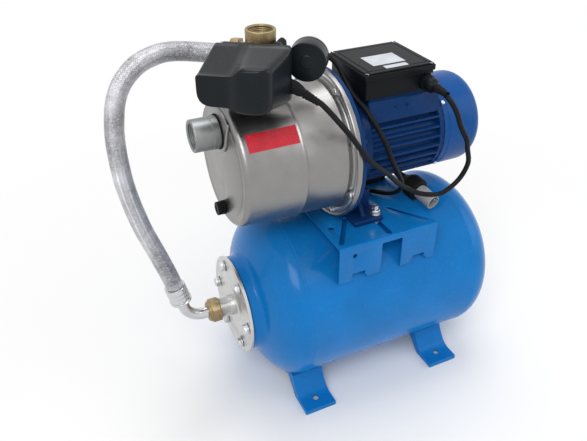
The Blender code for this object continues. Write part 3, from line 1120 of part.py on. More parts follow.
def leads():
    """The hose, the two leads, the wound-up rest of the mains lead and its plug."""
    cord("hose", hose_route(), HOSE_DIAMETER, "braid", count=24, resolution=4)
    cord("motor_lead", motor_lead_route(), LEAD_DIAMETER, "lead_rubber", count=46, resolution=2)
    cord("mains_lead", mains_lead_route(), LEAD_DIAMETER, "lead_rubber", count=34, resolution=2)
    inner, outer = COIL_MEAN_RADIUS - COIL_BAND / 2, COIL_MEAN_RADIUS + COIL_BAND / 2
    low, high, ease = 0, COIL_BAND, 0.003
    lathe("mains_coil", [(low, inner + ease), (low, outer - ease), (low + ease, outer), (high - ease, outer), (high, outer - ease),
                         (high, inner + ease), (high - ease, inner), (low + ease, inner)],
          "lead_rubber", (COIL_X, COIL_Y, COIL_Z), UP, steps=24)
    radius = PLUG_RADIUS
    guard = PLUG_GUARD_RADIUS
    profile = [(0, 0), (0, guard - 0.001), (0.001, guard), (0.0305, guard), (0.0305, radius - 0.0015), (0.032, radius), (0.050, radius),
               (0.053, radius - 0.002), (0.060, 0.0105), (0.066, 0.0072), (PLUG_LENGTH, 0.0046), (PLUG_LENGTH, 0)]
    slope = Vector((-sin(PLUG_TURN) * cos(PLUG_TILT), cos(PLUG_TURN) * cos(PLUG_TILT), sin(PLUG_TILT)))
    lean = atan2(slope.z, slope.y)
    touch = Vector((PLUG_X, 0, TANK_Z)) + (TANK_RADIUS + TOUCH + radius) * Vector((0, -sin(lean), cos(lean)))
    tip = touch - PLUG_REST * slope
    lathe("plug", profile, "black_plastic", tip, slope, steps=16, ring=False)


def main():
    clear_scene()
    tank_shell()
    tank_membrane()
    tank_flange()
    flange_bolts()
    tank_feet()
    pump_bracket()
    air_valve()
    pump_casing()
    casing_screws()
    suction_fittings()
    drain_plug()
    pump_insides()
    motor_bracket()
    foot_bolts()
    motor_housing()
    motor_insides()
    bearing("front_bearing", FRONT_BEARING)
    bearing("rear_bearing", REAR_BEARING)
    rear_endshield()
    cooling_fan()
    fan_cover()
    terminal_box()
    five_way_fitting()
    pressure_gauge()
    pressure_switch()
    hose_fittings()
    leads()


main()
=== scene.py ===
"""A booster pump set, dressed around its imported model: a jet pump with its motor on a horizontal blue tank.

Run it in Blender's text editor or with blender --background --python scene.py.
"""
import json
from math import asin, atan2, cos, pi, radians, sin, sqrt

import bmesh
import bpy
from bpy.props import FloatProperty, FloatVectorProperty, PointerProperty
from mathutils import Matrix, Vector


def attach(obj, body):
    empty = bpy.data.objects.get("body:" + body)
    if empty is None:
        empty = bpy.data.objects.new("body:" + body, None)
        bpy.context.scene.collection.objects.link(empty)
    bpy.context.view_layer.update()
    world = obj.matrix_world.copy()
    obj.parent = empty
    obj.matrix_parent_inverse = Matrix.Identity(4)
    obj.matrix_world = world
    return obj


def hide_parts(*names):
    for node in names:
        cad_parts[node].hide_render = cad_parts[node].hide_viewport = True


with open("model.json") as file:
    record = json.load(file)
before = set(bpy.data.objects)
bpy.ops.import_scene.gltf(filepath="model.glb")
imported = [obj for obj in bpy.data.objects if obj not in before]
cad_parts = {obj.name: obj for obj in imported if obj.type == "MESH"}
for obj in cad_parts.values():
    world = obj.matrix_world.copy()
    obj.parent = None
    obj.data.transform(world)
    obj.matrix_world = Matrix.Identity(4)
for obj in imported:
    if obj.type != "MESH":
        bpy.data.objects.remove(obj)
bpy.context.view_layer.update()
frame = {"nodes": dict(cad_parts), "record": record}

bl_info = {
    "name": "Booster pump set",
    "version": (1, 0, 0),
    "blender": (4, 5, 0),
    "location": "View3D > Sidebar > Pump",
    "description": "Dresses a jet pump, its tank, hose, switch and gauge",
    "category": "Object",
}

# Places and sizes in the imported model's frame, in metres
TOUCH = 0.0003
TANK_X = 0.018275
TANK_Z = 0.1535
TANK_RADIUS = 0.131
TANK_BARREL = 0.2785
HEAD_DEPTH = 0.0655
FLANGE_FACE_X = TANK_X - TANK_BARREL / 2 - 0.0762
STUB_END_X = FLANGE_FACE_X - 0.0313
JOINT_X = -0.045825
PUMP_Z = 0.3965
CASING_LENGTH = 0.153
SUCTION_RISE = 0.0481
DRAIN_DROP = 0.0665
BRACKET_X = 0.002975
PLATE_Z = 0.2893
FOOT_BOLT_X = JOINT_X + 0.052
FOOT_BOLT_Y = 0.062
HOUSING_LENGTH = 0.112
BOX_X = JOINT_X + 0.0318
BOX_LENGTH = 0.102
BOX_HALF = 0.047
BOX_Z = PUMP_Z + 0.0712 + TOUCH
BOX_GLAND_X = BOX_X + BOX_LENGTH - 0.0095
BOX_GLAND_Z = BOX_Z + 0.0125
FITTING_X = -0.138925
PORT_Z = PUMP_Z + 0.137
SWITCH_Z = PORT_Z - 0.004
TURN = radians(-36)
UP = Vector((0, 0, 1))
BACK = Vector((1, 0, 0))
AHEAD = Vector((-1, 0, 0))
GAUGE_WAY = Vector((cos(TURN), sin(TURN), 0))
HOSE_WAY = -GAUGE_WAY
SWITCH_WAY = Vector((sin(TURN), -cos(TURN), 0))
FITTING = Vector((FITTING_X, 0, PORT_Z))
GAUGE_MIDDLE = FITTING + 0.0585 * GAUGE_WAY
SWITCH_MIDDLE = Vector((FITTING_X, 0, SWITCH_Z))
SWITCH_BACK = 0.03
REAR_GLAND = (0.026, 0.0235)
HOSE_START = 0.0515
COIL = Vector((0.0585, 0.065, PLATE_Z + TOUCH))
PLUG_LENGTH = 0.088


# Tools for meshes
def deselect():
    """Leaves edit mode with nothing selected."""
    if bpy.context.mode != "OBJECT":
        bpy.ops.object.mode_set(mode="OBJECT")
    bpy.ops.object.select_all(action="DESELECT")


def pick(thing):
    """Makes one object the only selected and active one."""
    deselect()
    thing.select_set(True)
    bpy.context.view_layer.objects.active = thing


def facing(origin, axis):
    """The matrix that puts local Z along axis at origin."""
    return Matrix.Translation(Vector(origin)) @ UP.rotation_difference(Vector(axis)).to_matrix().to_4x4()


def framed(origin, right, up):
    """The matrix with local X along right, Y along up and Z along their cross product."""
    right, up = Vector(right).normalized(), Vector(up).normalized()
    return Matrix.Translation(Vector(origin)) @ Matrix((right, up, right.cross(up))).transposed().to_4x4()


def settle(thing, matrix=None):
    """Puts a piece in its place and leaves that place in its mesh."""
    pick(thing)
    if matrix is not None:
        thing.matrix_world = matrix
    bpy.ops.object.transform_apply(location=True, rotation=True, scale=True)
    return thing


def seed_vertex(name, at):
    """A mesh of one vertex, from a plane merged to its middle, left in edit mode."""
    deselect()
    bpy.ops.mesh.primitive_plane_add(size=0.001, location=(0, 0, 0))
    thing = bpy.context.object
    thing.name = name
    thing.data.name = name
    bpy.ops.object.mode_set(mode="EDIT")
    bpy.ops.mesh.select_mode(type="VERT")
    bpy.ops.mesh.select_all(action="SELECT")
    bpy.ops.mesh.merge(type="CENTER")
    bpy.ops.transform.translate(value=at)
    return thing


def draw_line(points):
    """Extrudes the selected vertex from point to point."""
    for before, after in zip(points, points[1:]):
        step = Vector(after) - Vector(before)
        bpy.ops.mesh.extrude_region_move(TRANSFORM_OT_translate={"value": step})


def turned(name, profile, origin, axis, steps=48, smooth=40, ring=False):
    """Spins a profile of (along, radius) about the axis."""
    points = [(radius, 0, along) for along, radius in profile]
    if ring:
        points.append(points[0])
    thing = seed_vertex(name, points[0])
    draw_line(points)
    bpy.ops.mesh.select_all(action="SELECT")
    bpy.ops.mesh.spin(steps=steps, angle=2 * pi, center=(0, 0, 0), axis=(0, 0, 1))
    bpy.ops.mesh.select_all(action="SELECT")
    bpy.ops.mesh.remove_doubles(threshold=0.000002)
    bpy.ops.mesh.dissolve_degenerate(threshold=0.000001)
    bpy.ops.mesh.select_all(action="SELECT")
    bpy.ops.mesh.normals_make_consistent(inside=False)
    bpy.ops.object.mode_set(mode="OBJECT")
    settle(thing, facing(origin, axis))
    bpy.ops.object.shade_smooth_by_angle(angle=radians(smooth))
    return thing


def cut_sheet(name, outline, depth, matrix, edge=0.0, segments=2, smooth=30):
    """Fills an outline, gives it depth and eases its edges."""
    points = [(u, v, 0) for u, v in outline]
    thing = seed_vertex(name, points[0])
    draw_line(points)
    bpy.ops.mesh.select_all(action="SELECT")
    bpy.ops.mesh.edge_face_add()
    bpy.ops.mesh.select_all(action="SELECT")
    bpy.ops.mesh.extrude_region_move(TRANSFORM_OT_translate={"value": (0, 0, depth)})
    bpy.ops.mesh.select_all(action="SELECT")
    bpy.ops.mesh.normals_make_consistent(inside=False)
    bpy.ops.object.mode_set(mode="OBJECT")
    settle(thing, matrix)
    ease(thing, edge, segments)
    bpy.ops.object.shade_smooth_by_angle(angle=radians(smooth))
    return thing


def ease(thing, edge, segments=2, angle=30):
    """Rounds the sharp edges of a piece."""
    if edge:
        pick(thing)
        step = thing.modifiers.new("eased", "BEVEL")
        step.width = edge
        step.segments = segments
        step.limit_method = "ANGLE"
        step.angle_limit = radians(angle)
        step.harden_normals = False
        bpy.ops.object.modifier_apply(modifier=step.name)
    return thing


def brick(name, low, high, edge=0.0, matrix=None, segments=3):
    """A block between two corners with eased edges."""
    low, high = Vector(low), Vector(high)
    deselect()
    bpy.ops.mesh.primitive_cube_add(size=1, location=(low + high) / 2, scale=high - low)
    thing = bpy.context.object
    thing.name = name
    thing.data.name = name
    bpy.ops.object.transform_apply(location=True, rotation=True, scale=True)
    if matrix is not None:
        settle(thing, matrix)
    ease(thing, edge, segments)
    bpy.ops.object.shade_smooth_by_angle(angle=radians(35))
    return thing


def cylinder(name, radius, start, end, origin, axis, steps=24, edge=0.0):
    """A plain pin, used where something small and round shows or is cut away."""
    deselect()
    bpy.ops.mesh.primitive_cylinder_add(vertices=steps, radius=radius, depth=end - start,
                                        location=(0, 0, (start + end) / 2))
    thing = bpy.context.object
    thing.name = name
    thing.data.name = name
    bpy.ops.object.transform_apply(location=True, rotation=True, scale=True)
    settle(thing, facing(origin, axis))
    ease(thing, edge, 2)
    bpy.ops.object.shade_smooth_by_angle(angle=radians(35))
    return thing


def blend_in(thing, other, operation):
    """Cuts another mesh from a piece, or joins it on, and removes the other."""
    pick(thing)
    step = thing.modifiers.new("shape", "BOOLEAN")
    step.operation = operation
    step.object = other
    step.solver = "EXACT"
    bpy.ops.object.modifier_apply(modifier=step.name)
    bpy.data.objects.remove(other)
    return thing


def carve(thing, *others):
    """Cuts other meshes from a piece."""
    for other in others:
        blend_in(thing, other, "DIFFERENCE")
    return thing


def weld(thing, *others):
    """Joins other meshes onto a piece."""
    for other in others:
        blend_in(thing, other, "UNION")
    return thing


def merge_pieces(name, things):
    """Joins separate meshes into one object."""
    deselect()
    for thing in things:
        thing.select_set(True)
    bpy.context.view_layer.objects.active = things[0]
    if len(things) > 1:
        bpy.ops.object.join()
    made = bpy.context.object
    made.name = name
    made.data.name = name
    return made


def resmooth(thing, angle=35):
    """Shades a piece smooth up to an angle."""
    pick(thing)
    bpy.ops.object.shade_smooth_by_angle(angle=radians(angle))
    return thing


def around(count, start=0.0):
    """Even angles round a circle."""
    return [start + 2 * pi * k / count for k in range(count)]


def hexagon(flats, turn=0.0):
    """A hexagon's corners, from its width across the flats."""
    corner = flats / sqrt(3)
    return [(corner * cos(turn + a), corner * sin(turn + a)) for a in around(6)]


def arc(centre, radius, first, last, steps):
    """Points on an arc in a profile's plane, in degrees."""
    return [(centre[0] + radius * cos(radians(first + (last - first) * k / steps)),
             centre[1] + radius * sin(radians(first + (last - first) * k / steps))) for k in range(steps + 1)]


def dress(thing, finish, stands_for=(), body="root"):
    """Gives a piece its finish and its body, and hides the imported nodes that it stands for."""
    thing.data.materials.clear()
    thing.data.materials.append(PAINTS[finish])
    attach(thing, body)
    if stands_for:
        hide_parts(*stands_for)
    return thing


# Tools for materials
class Wire:
    """A node's output that Python's own signs work on."""

    def __init__(self, book, socket):
        self.book = book
        self.socket = socket

    def _sum(self, operation, first, second):
        return self.book.node("ShaderNodeMath", {"operation": operation}, {0: first, 1: second})

    def __add__(self, other):
        return self._sum("ADD", self, other)

    __radd__ = __add__

    def __sub__(self, other):
        return self._sum("SUBTRACT", self, other)

    def __rsub__(self, other):
        return self._sum("SUBTRACT", other, self)

    def __mul__(self, other):
        return self._sum("MULTIPLY", self, other)

    __rmul__ = __mul__

    def __truediv__(self, other):
        return self._sum("DIVIDE", self, other)

    def __rtruediv__(self, other):
        return self._sum("DIVIDE", other, self)


class Finish:
    """One Principled material and the nodes that vary over it."""

    def __init__(self, name, colour, roughness, metal=0.0, coat=0.0, shine=0.5):
        self.material = bpy.data.materials.new(name)
        self.material.use_nodes = True
        self.tree = self.material.node_tree
        self.shader = self.tree.nodes["Principled BSDF"]
        self.set("Base Color", (*colour, 1.0))
        self.set("Roughness", roughness)
        self.set("Metallic", metal)
        self.set("Coat Weight", coat)
        self.set("Specular IOR Level", shine)
        self.material.diffuse_color = (*colour, 1.0)
        self.shader.inputs["Coat Roughness"].default_value = 0.06

    def node(self, kind, settings=None, values=None, output=0):
        """Adds a node, sets it, then feeds its sockets."""
        made = self.tree.nodes.new(kind)
        for key, value in (settings or {}).items():
            setattr(made, key, value)
        for key, value in (values or {}).items():
            self.feed(made.inputs[key], value)
        return Wire(self, made.outputs[output])

    def feed(self, socket, value):
        """Links a wire to a socket, or sets the socket's own value."""
        if isinstance(value, Wire):
            self.tree.links.new(value.socket, socket)
        elif hasattr(socket.default_value, "__len__") and not hasattr(value, "__len__"):
            socket.default_value = [value] * len(socket.default_value)
        else:
            socket.default_value = value

    def set(self, socket, value):
        """Feeds a socket of the shader."""
        self.feed(self.shader.inputs[socket], value)

    def place(self, scale=(1, 1, 1)):
        """Object coordinates, stretched along their axes."""
        spot = self.node("ShaderNodeTexCoord", output=3)
        return self.node("ShaderNodeMapping", None, {"Vector": spot, "Scale": scale})

    def noise(self, size, detail=3.0, rough=0.5, scale=(1, 1, 1)):
        """Noise from 0 to 1, with lumps of about that size in metres."""
        return self.node("ShaderNodeTexNoise", {"noise_dimensions": "3D"},
                         {"Vector": self.place(scale), "Scale": 1.0 / size, "Detail": detail,
                          "Roughness": rough})

    def span(self, value, low, high, to_low=0.0, to_high=1.0):
        """Stretches part of a value's range, clamped at its ends."""
        return self.node("ShaderNodeMapRange", {"clamp": True},
                         {"Value": value, "From Min": low, "From Max": high, "To Min": to_low,
                          "To Max": to_high})

    def mix(self, share, first, second):
        """Mixes two colours."""
        first = first if isinstance(first, Wire) else (*first[:3], 1.0)
        second = second if isinstance(second, Wire) else (*second[:3], 1.0)
        return self.node("ShaderNodeMix", {"data_type": "RGBA"}, {0: share, 6: first, 7: second}, output=2)

    def bump(self, height, depth, strength=1.0):
        """Raises the surface by a height from 0 to 1, with the depth in metres."""
        self.set("Normal",
                 self.node("ShaderNodeBump", None,
                           {"Height": height, "Distance": depth, "Strength": strength}))

    def away(self):
        """The distance from the origin, in metres."""
        return self.node("ShaderNodeVectorMath", {"operation": "LENGTH"}, {0: self.place()}, output=1)


def shade(colour, factor):
    """A colour made lighter or darker."""
    return tuple(min(1.0, c * factor) for c in colour)


def gloss_paint(name, colour, roughness=0.22, coat=0.12, peel=0.0007, dust=0.03):
    """Sprayed enamel: slight orange peel, faint clouding, a little dust in the gloss."""
    made = Finish(name, colour, roughness, 0.0, coat, 0.1)
    cloud = made.noise(0.06, 3.0)
    fine = made.noise(0.004, 2.0)
    tone = made.mix(made.span(cloud, 0.35, 0.7), shade(colour, 0.92), shade(colour, 1.07))
    made.set("Base Color", made.mix(made.span(fine, 0.55, 0.8, 0.0, dust), tone, (0.55, 0.6, 0.68)))
    made.set("Roughness", made.span(cloud, 0.3, 0.7, roughness * 0.85, roughness * 1.25))
    made.bump(made.noise(peel * 4, 1.0), peel * 0.06, 0.35)
    return made.material


def moulded(name, colour, roughness=0.42, grain=0.0006, shine=0.12):
    """Moulded plastic: fine grain, slightly greyer on its high spots."""
    made = Finish(name, colour, roughness, shine=shine)
    fine = made.noise(grain, 2.0)
    cloud = made.noise(0.02, 3.0)
    made.set("Base Color", made.mix(made.span(cloud, 0.35, 0.75, 0.0, 0.6), colour, shade(colour, 1.5)))
    made.set("Roughness", made.span(fine, 0.3, 0.7, roughness * 0.85, roughness * 1.2))
    made.bump(fine, grain * 0.12, 0.5)
    return made.material


def metal(name, colour, roughness, streak=(1, 1, 1), size=0.002, blotch=0.12, bump=0.00002):
    """Bare or plated metal, brushed along the axis that the streak leaves long."""
    made = Finish(name, colour, roughness, 1.0)
    brush = made.noise(size, 3.0, 0.6, scale=streak)
    cloud = made.noise(0.018, 4.0)
    made.set("Base Color",
             made.mix(made.span(cloud, 0.3, 0.7), shade(colour, 1 - blotch), shade(colour, 1 + blotch)))
    made.set("Roughness", made.span(brush * 0.6 + cloud * 0.4, 0.3, 0.7, roughness * 0.75, roughness * 1.35))
    made.bump(brush, bump, 0.4)
    return made.material


def rubber(name, colour, roughness=0.6):
    """Dull rubber with a fine grain."""
    made = Finish(name, colour, roughness, shine=0.12)
    fine = made.noise(0.0008, 2.0)
    cloud = made.noise(0.015, 3.0)
    made.set("Base Color", made.mix(made.span(cloud, 0.4, 0.75, 0.0, 0.5), colour, shade(colour, 1.8)))
    made.set("Roughness", made.span(fine, 0.3, 0.7, roughness * 0.85, min(1.0, roughness * 1.15)))
    made.bump(fine, 0.00004, 0.5)
    return made.material


def braid_paint(name, colour, strands, lay):
    """A steel wire braid on the piece's own map: two families of strands cross, each over and under."""
    made = Finish(name, colour, 0.36, 1.0)
    wires = 5.0
    spot = made.node("ShaderNodeUVMap", {"uv_map": "UVMap"})
    split = made.node("ShaderNodeSeparateXYZ", None, {0: spot}).socket.node
    u, v = Wire(made, split.outputs[0]), Wire(made, split.outputs[1])
    rise = v / lay
    first = (u + rise) * strands
    second = (u - rise) * strands

    def part(operation, value):
        """The whole or the broken part of a number."""
        return made.node("ShaderNodeMath", {"operation": operation}, {0: value})

    def hump(value):
        """A round hump across each strand or wire."""
        across = part("FRACT", value)
        return across * (1.0 - across) * 4.0

    over = made.span(part("FRACT", (part("FLOOR", first) + part("FLOOR", second)) * 0.5), 0.2, 0.3)
    top = hump(first) * over + hump(second) * (1.0 - over)
    fine = hump(first * wires) * over + hump(second * wires) * (1.0 - over)
    height = top * 0.7 + fine * 0.3
    cloud = made.noise(0.03, 3.0)
    glint = made.noise(0.0022, 2.0)
    # Painted shade: the colour darkens to near black towards the gaps between strands, where shade falls.
    dark = made.mix(made.span(height, 0.18, 0.62), shade(colour, 0.16), colour)
    # Painted highlight: in cloudy patches, the strands' crowns are lightened towards near white.
    lit_crowns = made.mix(made.span(cloud, 0.35, 0.7), dark,
                    made.mix(made.span(height, 0.2, 0.6), shade(colour, 0.4), (0.72, 0.72, 0.76)))
    # Painted glints: small random spots lightened towards white. The same noise also varies the roughness.
    bright = made.mix(made.span(glint, 0.5, 0.72, 0.0, 0.6), lit_crowns, (0.88, 0.88, 0.92))
    made.set("Base Color", bright)
    made.set("Roughness", made.span(glint, 0.3, 0.7, 0.26, 0.5))
    made.bump(height, 0.0009, 0.75)
    return made.material


# Sizes and colours that a user would change
class PumpSizes(bpy.types.PropertyGroup):
    camera_lens: FloatProperty(name="Lens", description="Focal length of the camera", default=39.70, min=10.0,
                               subtype="DISTANCE_CAMERA")
    hose_diameter: FloatProperty(name="Hose", description="Outside diameter of the braided hose",
                                 default=0.0245, unit="LENGTH")
    lead_diameter: FloatProperty(name="Leads", description="Outside diameter of both leads", default=0.007,
                                 unit="LENGTH")


class PumpColours(bpy.types.PropertyGroup):
    tank: FloatVectorProperty(name="Tank blue", description="Enamel of the tank, feet and bracket",
                              subtype="COLOR", default=(0.005, 0.185, 0.53), min=0, max=1)
    motor: FloatVectorProperty(name="Motor blue", description="Paint of the motor and its bracket",
                               subtype="COLOR", default=(0.004, 0.035, 0.135), min=0, max=1)
    cowl: FloatVectorProperty(name="Cowl blue", description="Paint of the fan cover", subtype="COLOR",
                              default=(0.006, 0.08, 0.29), min=0, max=1)
    casing: FloatVectorProperty(name="Casing", description="Polished steel of the pump casing",
                                subtype="COLOR", default=(0.275, 0.269, 0.265), min=0, max=1)
    brass: FloatVectorProperty(name="Brass", description="The fitting and the nuts", subtype="COLOR",
                               default=(0.31, 0.24, 0.13), min=0, max=1)
    black: FloatVectorProperty(name="Black", description="Moulded plastic", subtype="COLOR",
                               default=(0.005, 0.0065, 0.008), min=0, max=1)
    label: FloatVectorProperty(name="Label", description="The label on the casing", subtype="COLOR",
                               default=(0.62, 0.012, 0.03), min=0, max=1)


PAINTS = {}


def sizes():
    """The sizes that the user has set."""
    return bpy.context.scene.pump_sizes


def mix_paints():
    """Makes every finish once."""
    tint = bpy.context.scene.pump_colours
    PAINTS.update(
        tank=gloss_paint("tank enamel", tuple(tint.tank)),
        motor=gloss_paint("motor paint", tuple(tint.motor), 0.38, 0.05, 0.001, 0.02),
        cowl=gloss_paint("cowl paint", tuple(tint.cowl), 0.34, 0.08, 0.001, 0.02),
        casing=metal("polished casing", tuple(tint.casing), 0.34, (0.08, 1, 1), 0.0015, 0.04, 0.000004),
        flange=metal("plated flange", (0.6, 0.6, 0.59), 0.36, (1, 0.25, 1), 0.003, 0.08, 0.00002),
        zinc=metal("zinc plate", (0.6, 0.61, 0.63), 0.34),
        brass=metal("cast brass", tuple(tint.brass), 0.42, (1, 1, 1), 0.0012, 0.16, 0.00005),
        chrome=metal("bright plate", (0.6, 0.6, 0.62), 0.16, (1, 1, 1), 0.003, 0.05),
        port=metal("grey port", (0.28, 0.29, 0.29), 0.45, (1, 1, 1), 0.001, 0.1, 0.00003),
        black=moulded("black plastic", tuple(tint.black)),
        rubber=rubber("black rubber", (0.009, 0.009, 0.01), 0.7),
        lead=rubber("lead sheath", (0.008, 0.009, 0.01), 0.48),
        steel=metal("ground steel", (0.5, 0.5, 0.51), 0.3),
        core=metal("core steel", (0.24, 0.24, 0.25), 0.5, (12, 1, 1), 0.004, 0.1),
        copper=metal("varnished copper", (0.6, 0.22, 0.08), 0.38, (0.3, 1, 1), 0.001),
        filled=moulded("glass-filled plastic", (0.05, 0.05, 0.055), 0.5),
        ceramic=moulded("ceramic", (0.75, 0.73, 0.68), 0.3),
        dial=moulded("dial plate", (0.78, 0.78, 0.76), 0.6),
        pointer=moulded("pointer enamel", (0.45, 0.02, 0.02), 0.45),
        braid=braid_paint("steel braid", (0.33, 0.33, 0.35), 18, 0.052),
        ink=moulded("dark print", (0.012, 0.012, 0.014), 0.5),
        hood=moulded("gloss plastic", (0.005, 0.0075, 0.01), 0.26, shine=0.2),
        ferrule=metal("crimped sleeve", (0.47, 0.47, 0.47), 0.4, (1, 1, 1), 0.002, 0.1),
        guard=moulded("guard plastic", (0.42, 0.41, 0.4), 0.45),
        glass=window("window"),
        label=printed("label film", tuple(tint.label)),
        paper=printed("plate film", (0.6, 0.62, 0.66)),
    )


def printed(name, colour):
    """A printed film: flat colour with faint fading and scuffs."""
    made = Finish(name, colour, 0.38)
    cloud = made.noise(0.012, 4.0)
    scuff = made.noise(0.0015, 3.0)
    faded = made.mix(made.span(cloud, 0.35, 0.7), shade(colour, 0.88), shade(colour, 1.06))
    made.set("Base Color", made.mix(made.span(scuff, 0.62, 0.8, 0.0, 0.3), faded, (0.5, 0.5, 0.5)))
    made.set("Roughness", made.span(cloud, 0.3, 0.7, 0.3, 0.48))
    made.bump(made.noise(0.006, 2.0), 0.00006, 0.3)
    return made.material


def window(name):
    """A clear window with a few faint smears."""
    made = Finish(name, (0.9, 0.95, 0.95), 0.05)
    made.set("Alpha", 0.25)
    made.set("Roughness", made.span(made.noise(0.01, 3.0), 0.4, 0.7, 0.03, 0.12))
    return made.material


# The finish of each packed slot. What has none here is glass-filled plastic.
SLOT_PAINTS = {"tank_blue": "tank", "navy_paint": "motor", "cowl_blue": "cowl", "stainless": "casing",
               "zinc": "zinc", "brass": "brass", "chrome": "chrome", "cast_port": "port",
               "black_plastic": "black", "black_rubber": "rubber", "lead_rubber": "lead", "braid": "braid",
               "steel": "steel", "core_steel": "core", "copper": "copper", "ceramic": "ceramic",
               "dial_white": "dial", "pointer_red": "pointer", "glass": "glass",}


def smooth_line(points, count):
    """Points at even spacing on a smooth curve through the route's points."""
    route = [Vector(p) for p in points]
    ends = [2 * route[0] - route[1]] + route + [2 * route[-1] - route[-2]]
    fine = []
    for before, start, end, after in zip(ends, ends[1:], ends[2:], ends[3:]):
        for step in range(24):
            t = step / 24
            fine.append(0.5 * (2 * start + (end - before) * t
                               + (2 * before - 5 * start + 4 * end - after) * t * t
                               + (3 * start - before - 3 * end + after) * t ** 3))
    fine.append(route[-1])
    reach = [0.0]
    for here, there in zip(fine, fine[1:]):
        reach.append(reach[-1] + (there - here).length)
    line, k = [], 0
    for n in range(count):
        goal = reach[-1] * n / (count - 1)
        while k < len(fine) - 2 and reach[k + 1] < goal:
            k += 1
        share = (goal - reach[k]) / (reach[k + 1] - reach[k])
        line.append(fine[k].lerp(fine[k + 1], share))
    return line, reach[-1]


def switch_frame():
    """The switch's own frame: across, up and out from the fitting."""
    return framed(SWITCH_MIDDLE, GAUGE_WAY, UP)


def elbow_line():
    """The chromed tube's middle line, from the hose's ferrule down to the tank's stub."""
    turn = pi / 2 - radians(13.5)
    start_x = STUB_END_X - TOUCH
    bend = 0.03
    centre = Vector((start_x - 0.014, 0, TANK_Z + bend))
    bow = [centre + bend * Vector((-sin(a), 0, -cos(a))) for a in [turn * k / 8 for k in range(9)]]
    top = bow[-1] + 0.024 * Vector((-cos(turn), 0, sin(turn)))
    return ([Vector((start_x - 0.001, 0, TANK_Z))] + bow + [top])[::-1]


def hose_route():
    """The hose's middle line, level from the fitting, then down to the elbow."""
    start = FITTING + (HOSE_START + TOUCH) * HOSE_WAY
    elbow = elbow_line()
    way = (elbow[0] - elbow[1]).normalized()
    end = elbow[0] + 0.0203 * way
    middle = [(-0.2330, 0.0605, 0.5345), (-0.2537, 0.0595, 0.5340), (-0.2800, 0.0545, 0.5270),
              (-0.3018, 0.0480, 0.5110), (-0.3147, 0.0410, 0.4920), (-0.3215, 0.0340, 0.4705),
              (-0.3253, 0.0280, 0.4470), (-0.3263, 0.0210, 0.4170), (-0.3237, 0.0140, 0.3795),
              (-0.3135, 0.0070, 0.3275), (-0.2968, 0.0020, 0.2725)]
    level = [start, start + 0.012 * HOSE_WAY, start + 0.0253 * HOSE_WAY, start + 0.0413 * HOSE_WAY]
    return level + [Vector(p) for p in middle] + [end + 0.016 * way, end]


def side_gland_place():
    """Where the switch's side gland leaves the base, and the way that it points: outwards and down."""
    droop = radians(30)
    return switch_frame() @ Vector((0.043, -0.0155, 0.0362)), cos(droop) * GAUGE_WAY - sin(droop) * UP


def motor_lead_route():
    """The motor lead, over the casing's rim and in a loop to the box."""
    side, way = side_gland_place()
    gland = side + 0.0201 * way
    box = Vector((BOX_GLAND_X, -0.0733 - TOUCH, BOX_GLAND_Z))
    points = [gland + 0.012 * way, gland + 0.026 * way + Vector((0.0009, -0.0010, -0.0009)),
              (-0.0706, -0.1008, 0.4608), (-0.0549, -0.1050, 0.4385), (-0.0432, -0.1085, 0.4215),
              (-0.0275, -0.1065, 0.4057), (-0.0020, -0.0980, 0.3827), (0.0215, -0.0905, 0.3590),
              (0.0402, -0.0880, 0.3444), (0.0535, -0.0919, 0.3369), (0.0683, -0.0978, 0.3335),
              (0.0869, -0.0992, 0.3308), (0.1042, -0.0994, 0.3367), (0.1200, -0.1000, 0.3509),
              (0.1260, -0.1029, 0.3735), (0.1187, -0.1057, 0.3967), (0.1099, -0.1109, 0.4153),
              (0.0992, -0.1083, 0.4351), (0.0887, -0.1080, 0.4574), (0.0830, -0.1013, 0.4704),
              (0.0797, -0.0905, 0.4779), box + Vector((0, -0.0040, 0))]
    return [gland] + [Vector(p) for p in points] + [box]


def mains_lead_route():
    """The mains lead, behind the gauge and down the motor's side to the coil."""
    gland = switch_frame() @ Vector((*REAR_GLAND, SWITCH_BACK + 0.001 - 0.0145 - 0.0006))
    points = [gland - 0.010 * SWITCH_WAY, (-0.1136, -0.0102, 0.5512), (-0.1089, -0.0023, 0.5470),
              (-0.1055, 0.0043, 0.5406), (-0.0975, 0.0107, 0.5305), (-0.0834, 0.0154, 0.5232),
              (-0.0598, 0.0168, 0.5211), (-0.0422, 0.0089, 0.5167), (-0.0310, -0.0020, 0.5044),
              (-0.0255, -0.0148, 0.4867), (-0.0212, -0.0304, 0.4717), (-0.0145, -0.0485, 0.4599),
              (-0.0100, -0.0594, 0.4490), (-0.0038, -0.0684, 0.4355), (0.0050, -0.0765, 0.4150),
              (0.0165, -0.0785, 0.3880), (0.0300, -0.0750, 0.3640), (0.0420, -0.0680, 0.3450),
              (0.0500, -0.0580, 0.3280), (0.0530, -0.0430, 0.3120), (0.0505, -0.0260, 0.3010),
              (0.0435, -0.0090, 0.2955), (0.0335, 0.0080, 0.2936), (0.0262, 0.0215, 0.2934),
              (COIL.x - 0.035, COIL.y - 0.0302, COIL.z + 0.0038)]
    return [gland] + [Vector(p) for p in points]


def coil_route():
    """The wound-up rest of the mains lead: clockwise turns, two low and two high, then out to the plug."""
    inner, outer, low, high = 0.0316, 0.0384, 0.0038, 0.0106
    stages = ((0.0, outer, low), (0.85, outer, low), (1.15, inner, low), (1.85, inner, low),
              (2.15, inner, high), (2.75, inner, high), (3.1, outer, high), (3.5, outer, high))
    points = []
    for k in range(3 * 28 + 8):
        turn = k / 28
        for (t0, r0, z0), (t1, r1, z1) in zip(stages, stages[1:]):
            if t0 <= turn <= t1:
                share = (turn - t0) / (t1 - t0)
                share = share * share * (3 - 2 * share)
                a = pi - 2 * pi * turn
                radius = r0 + (r1 - r0) * share
                points.append(COIL + Vector((radius * cos(a), radius * sin(a), z0 + (z1 - z0) * share)))
                break
    return points


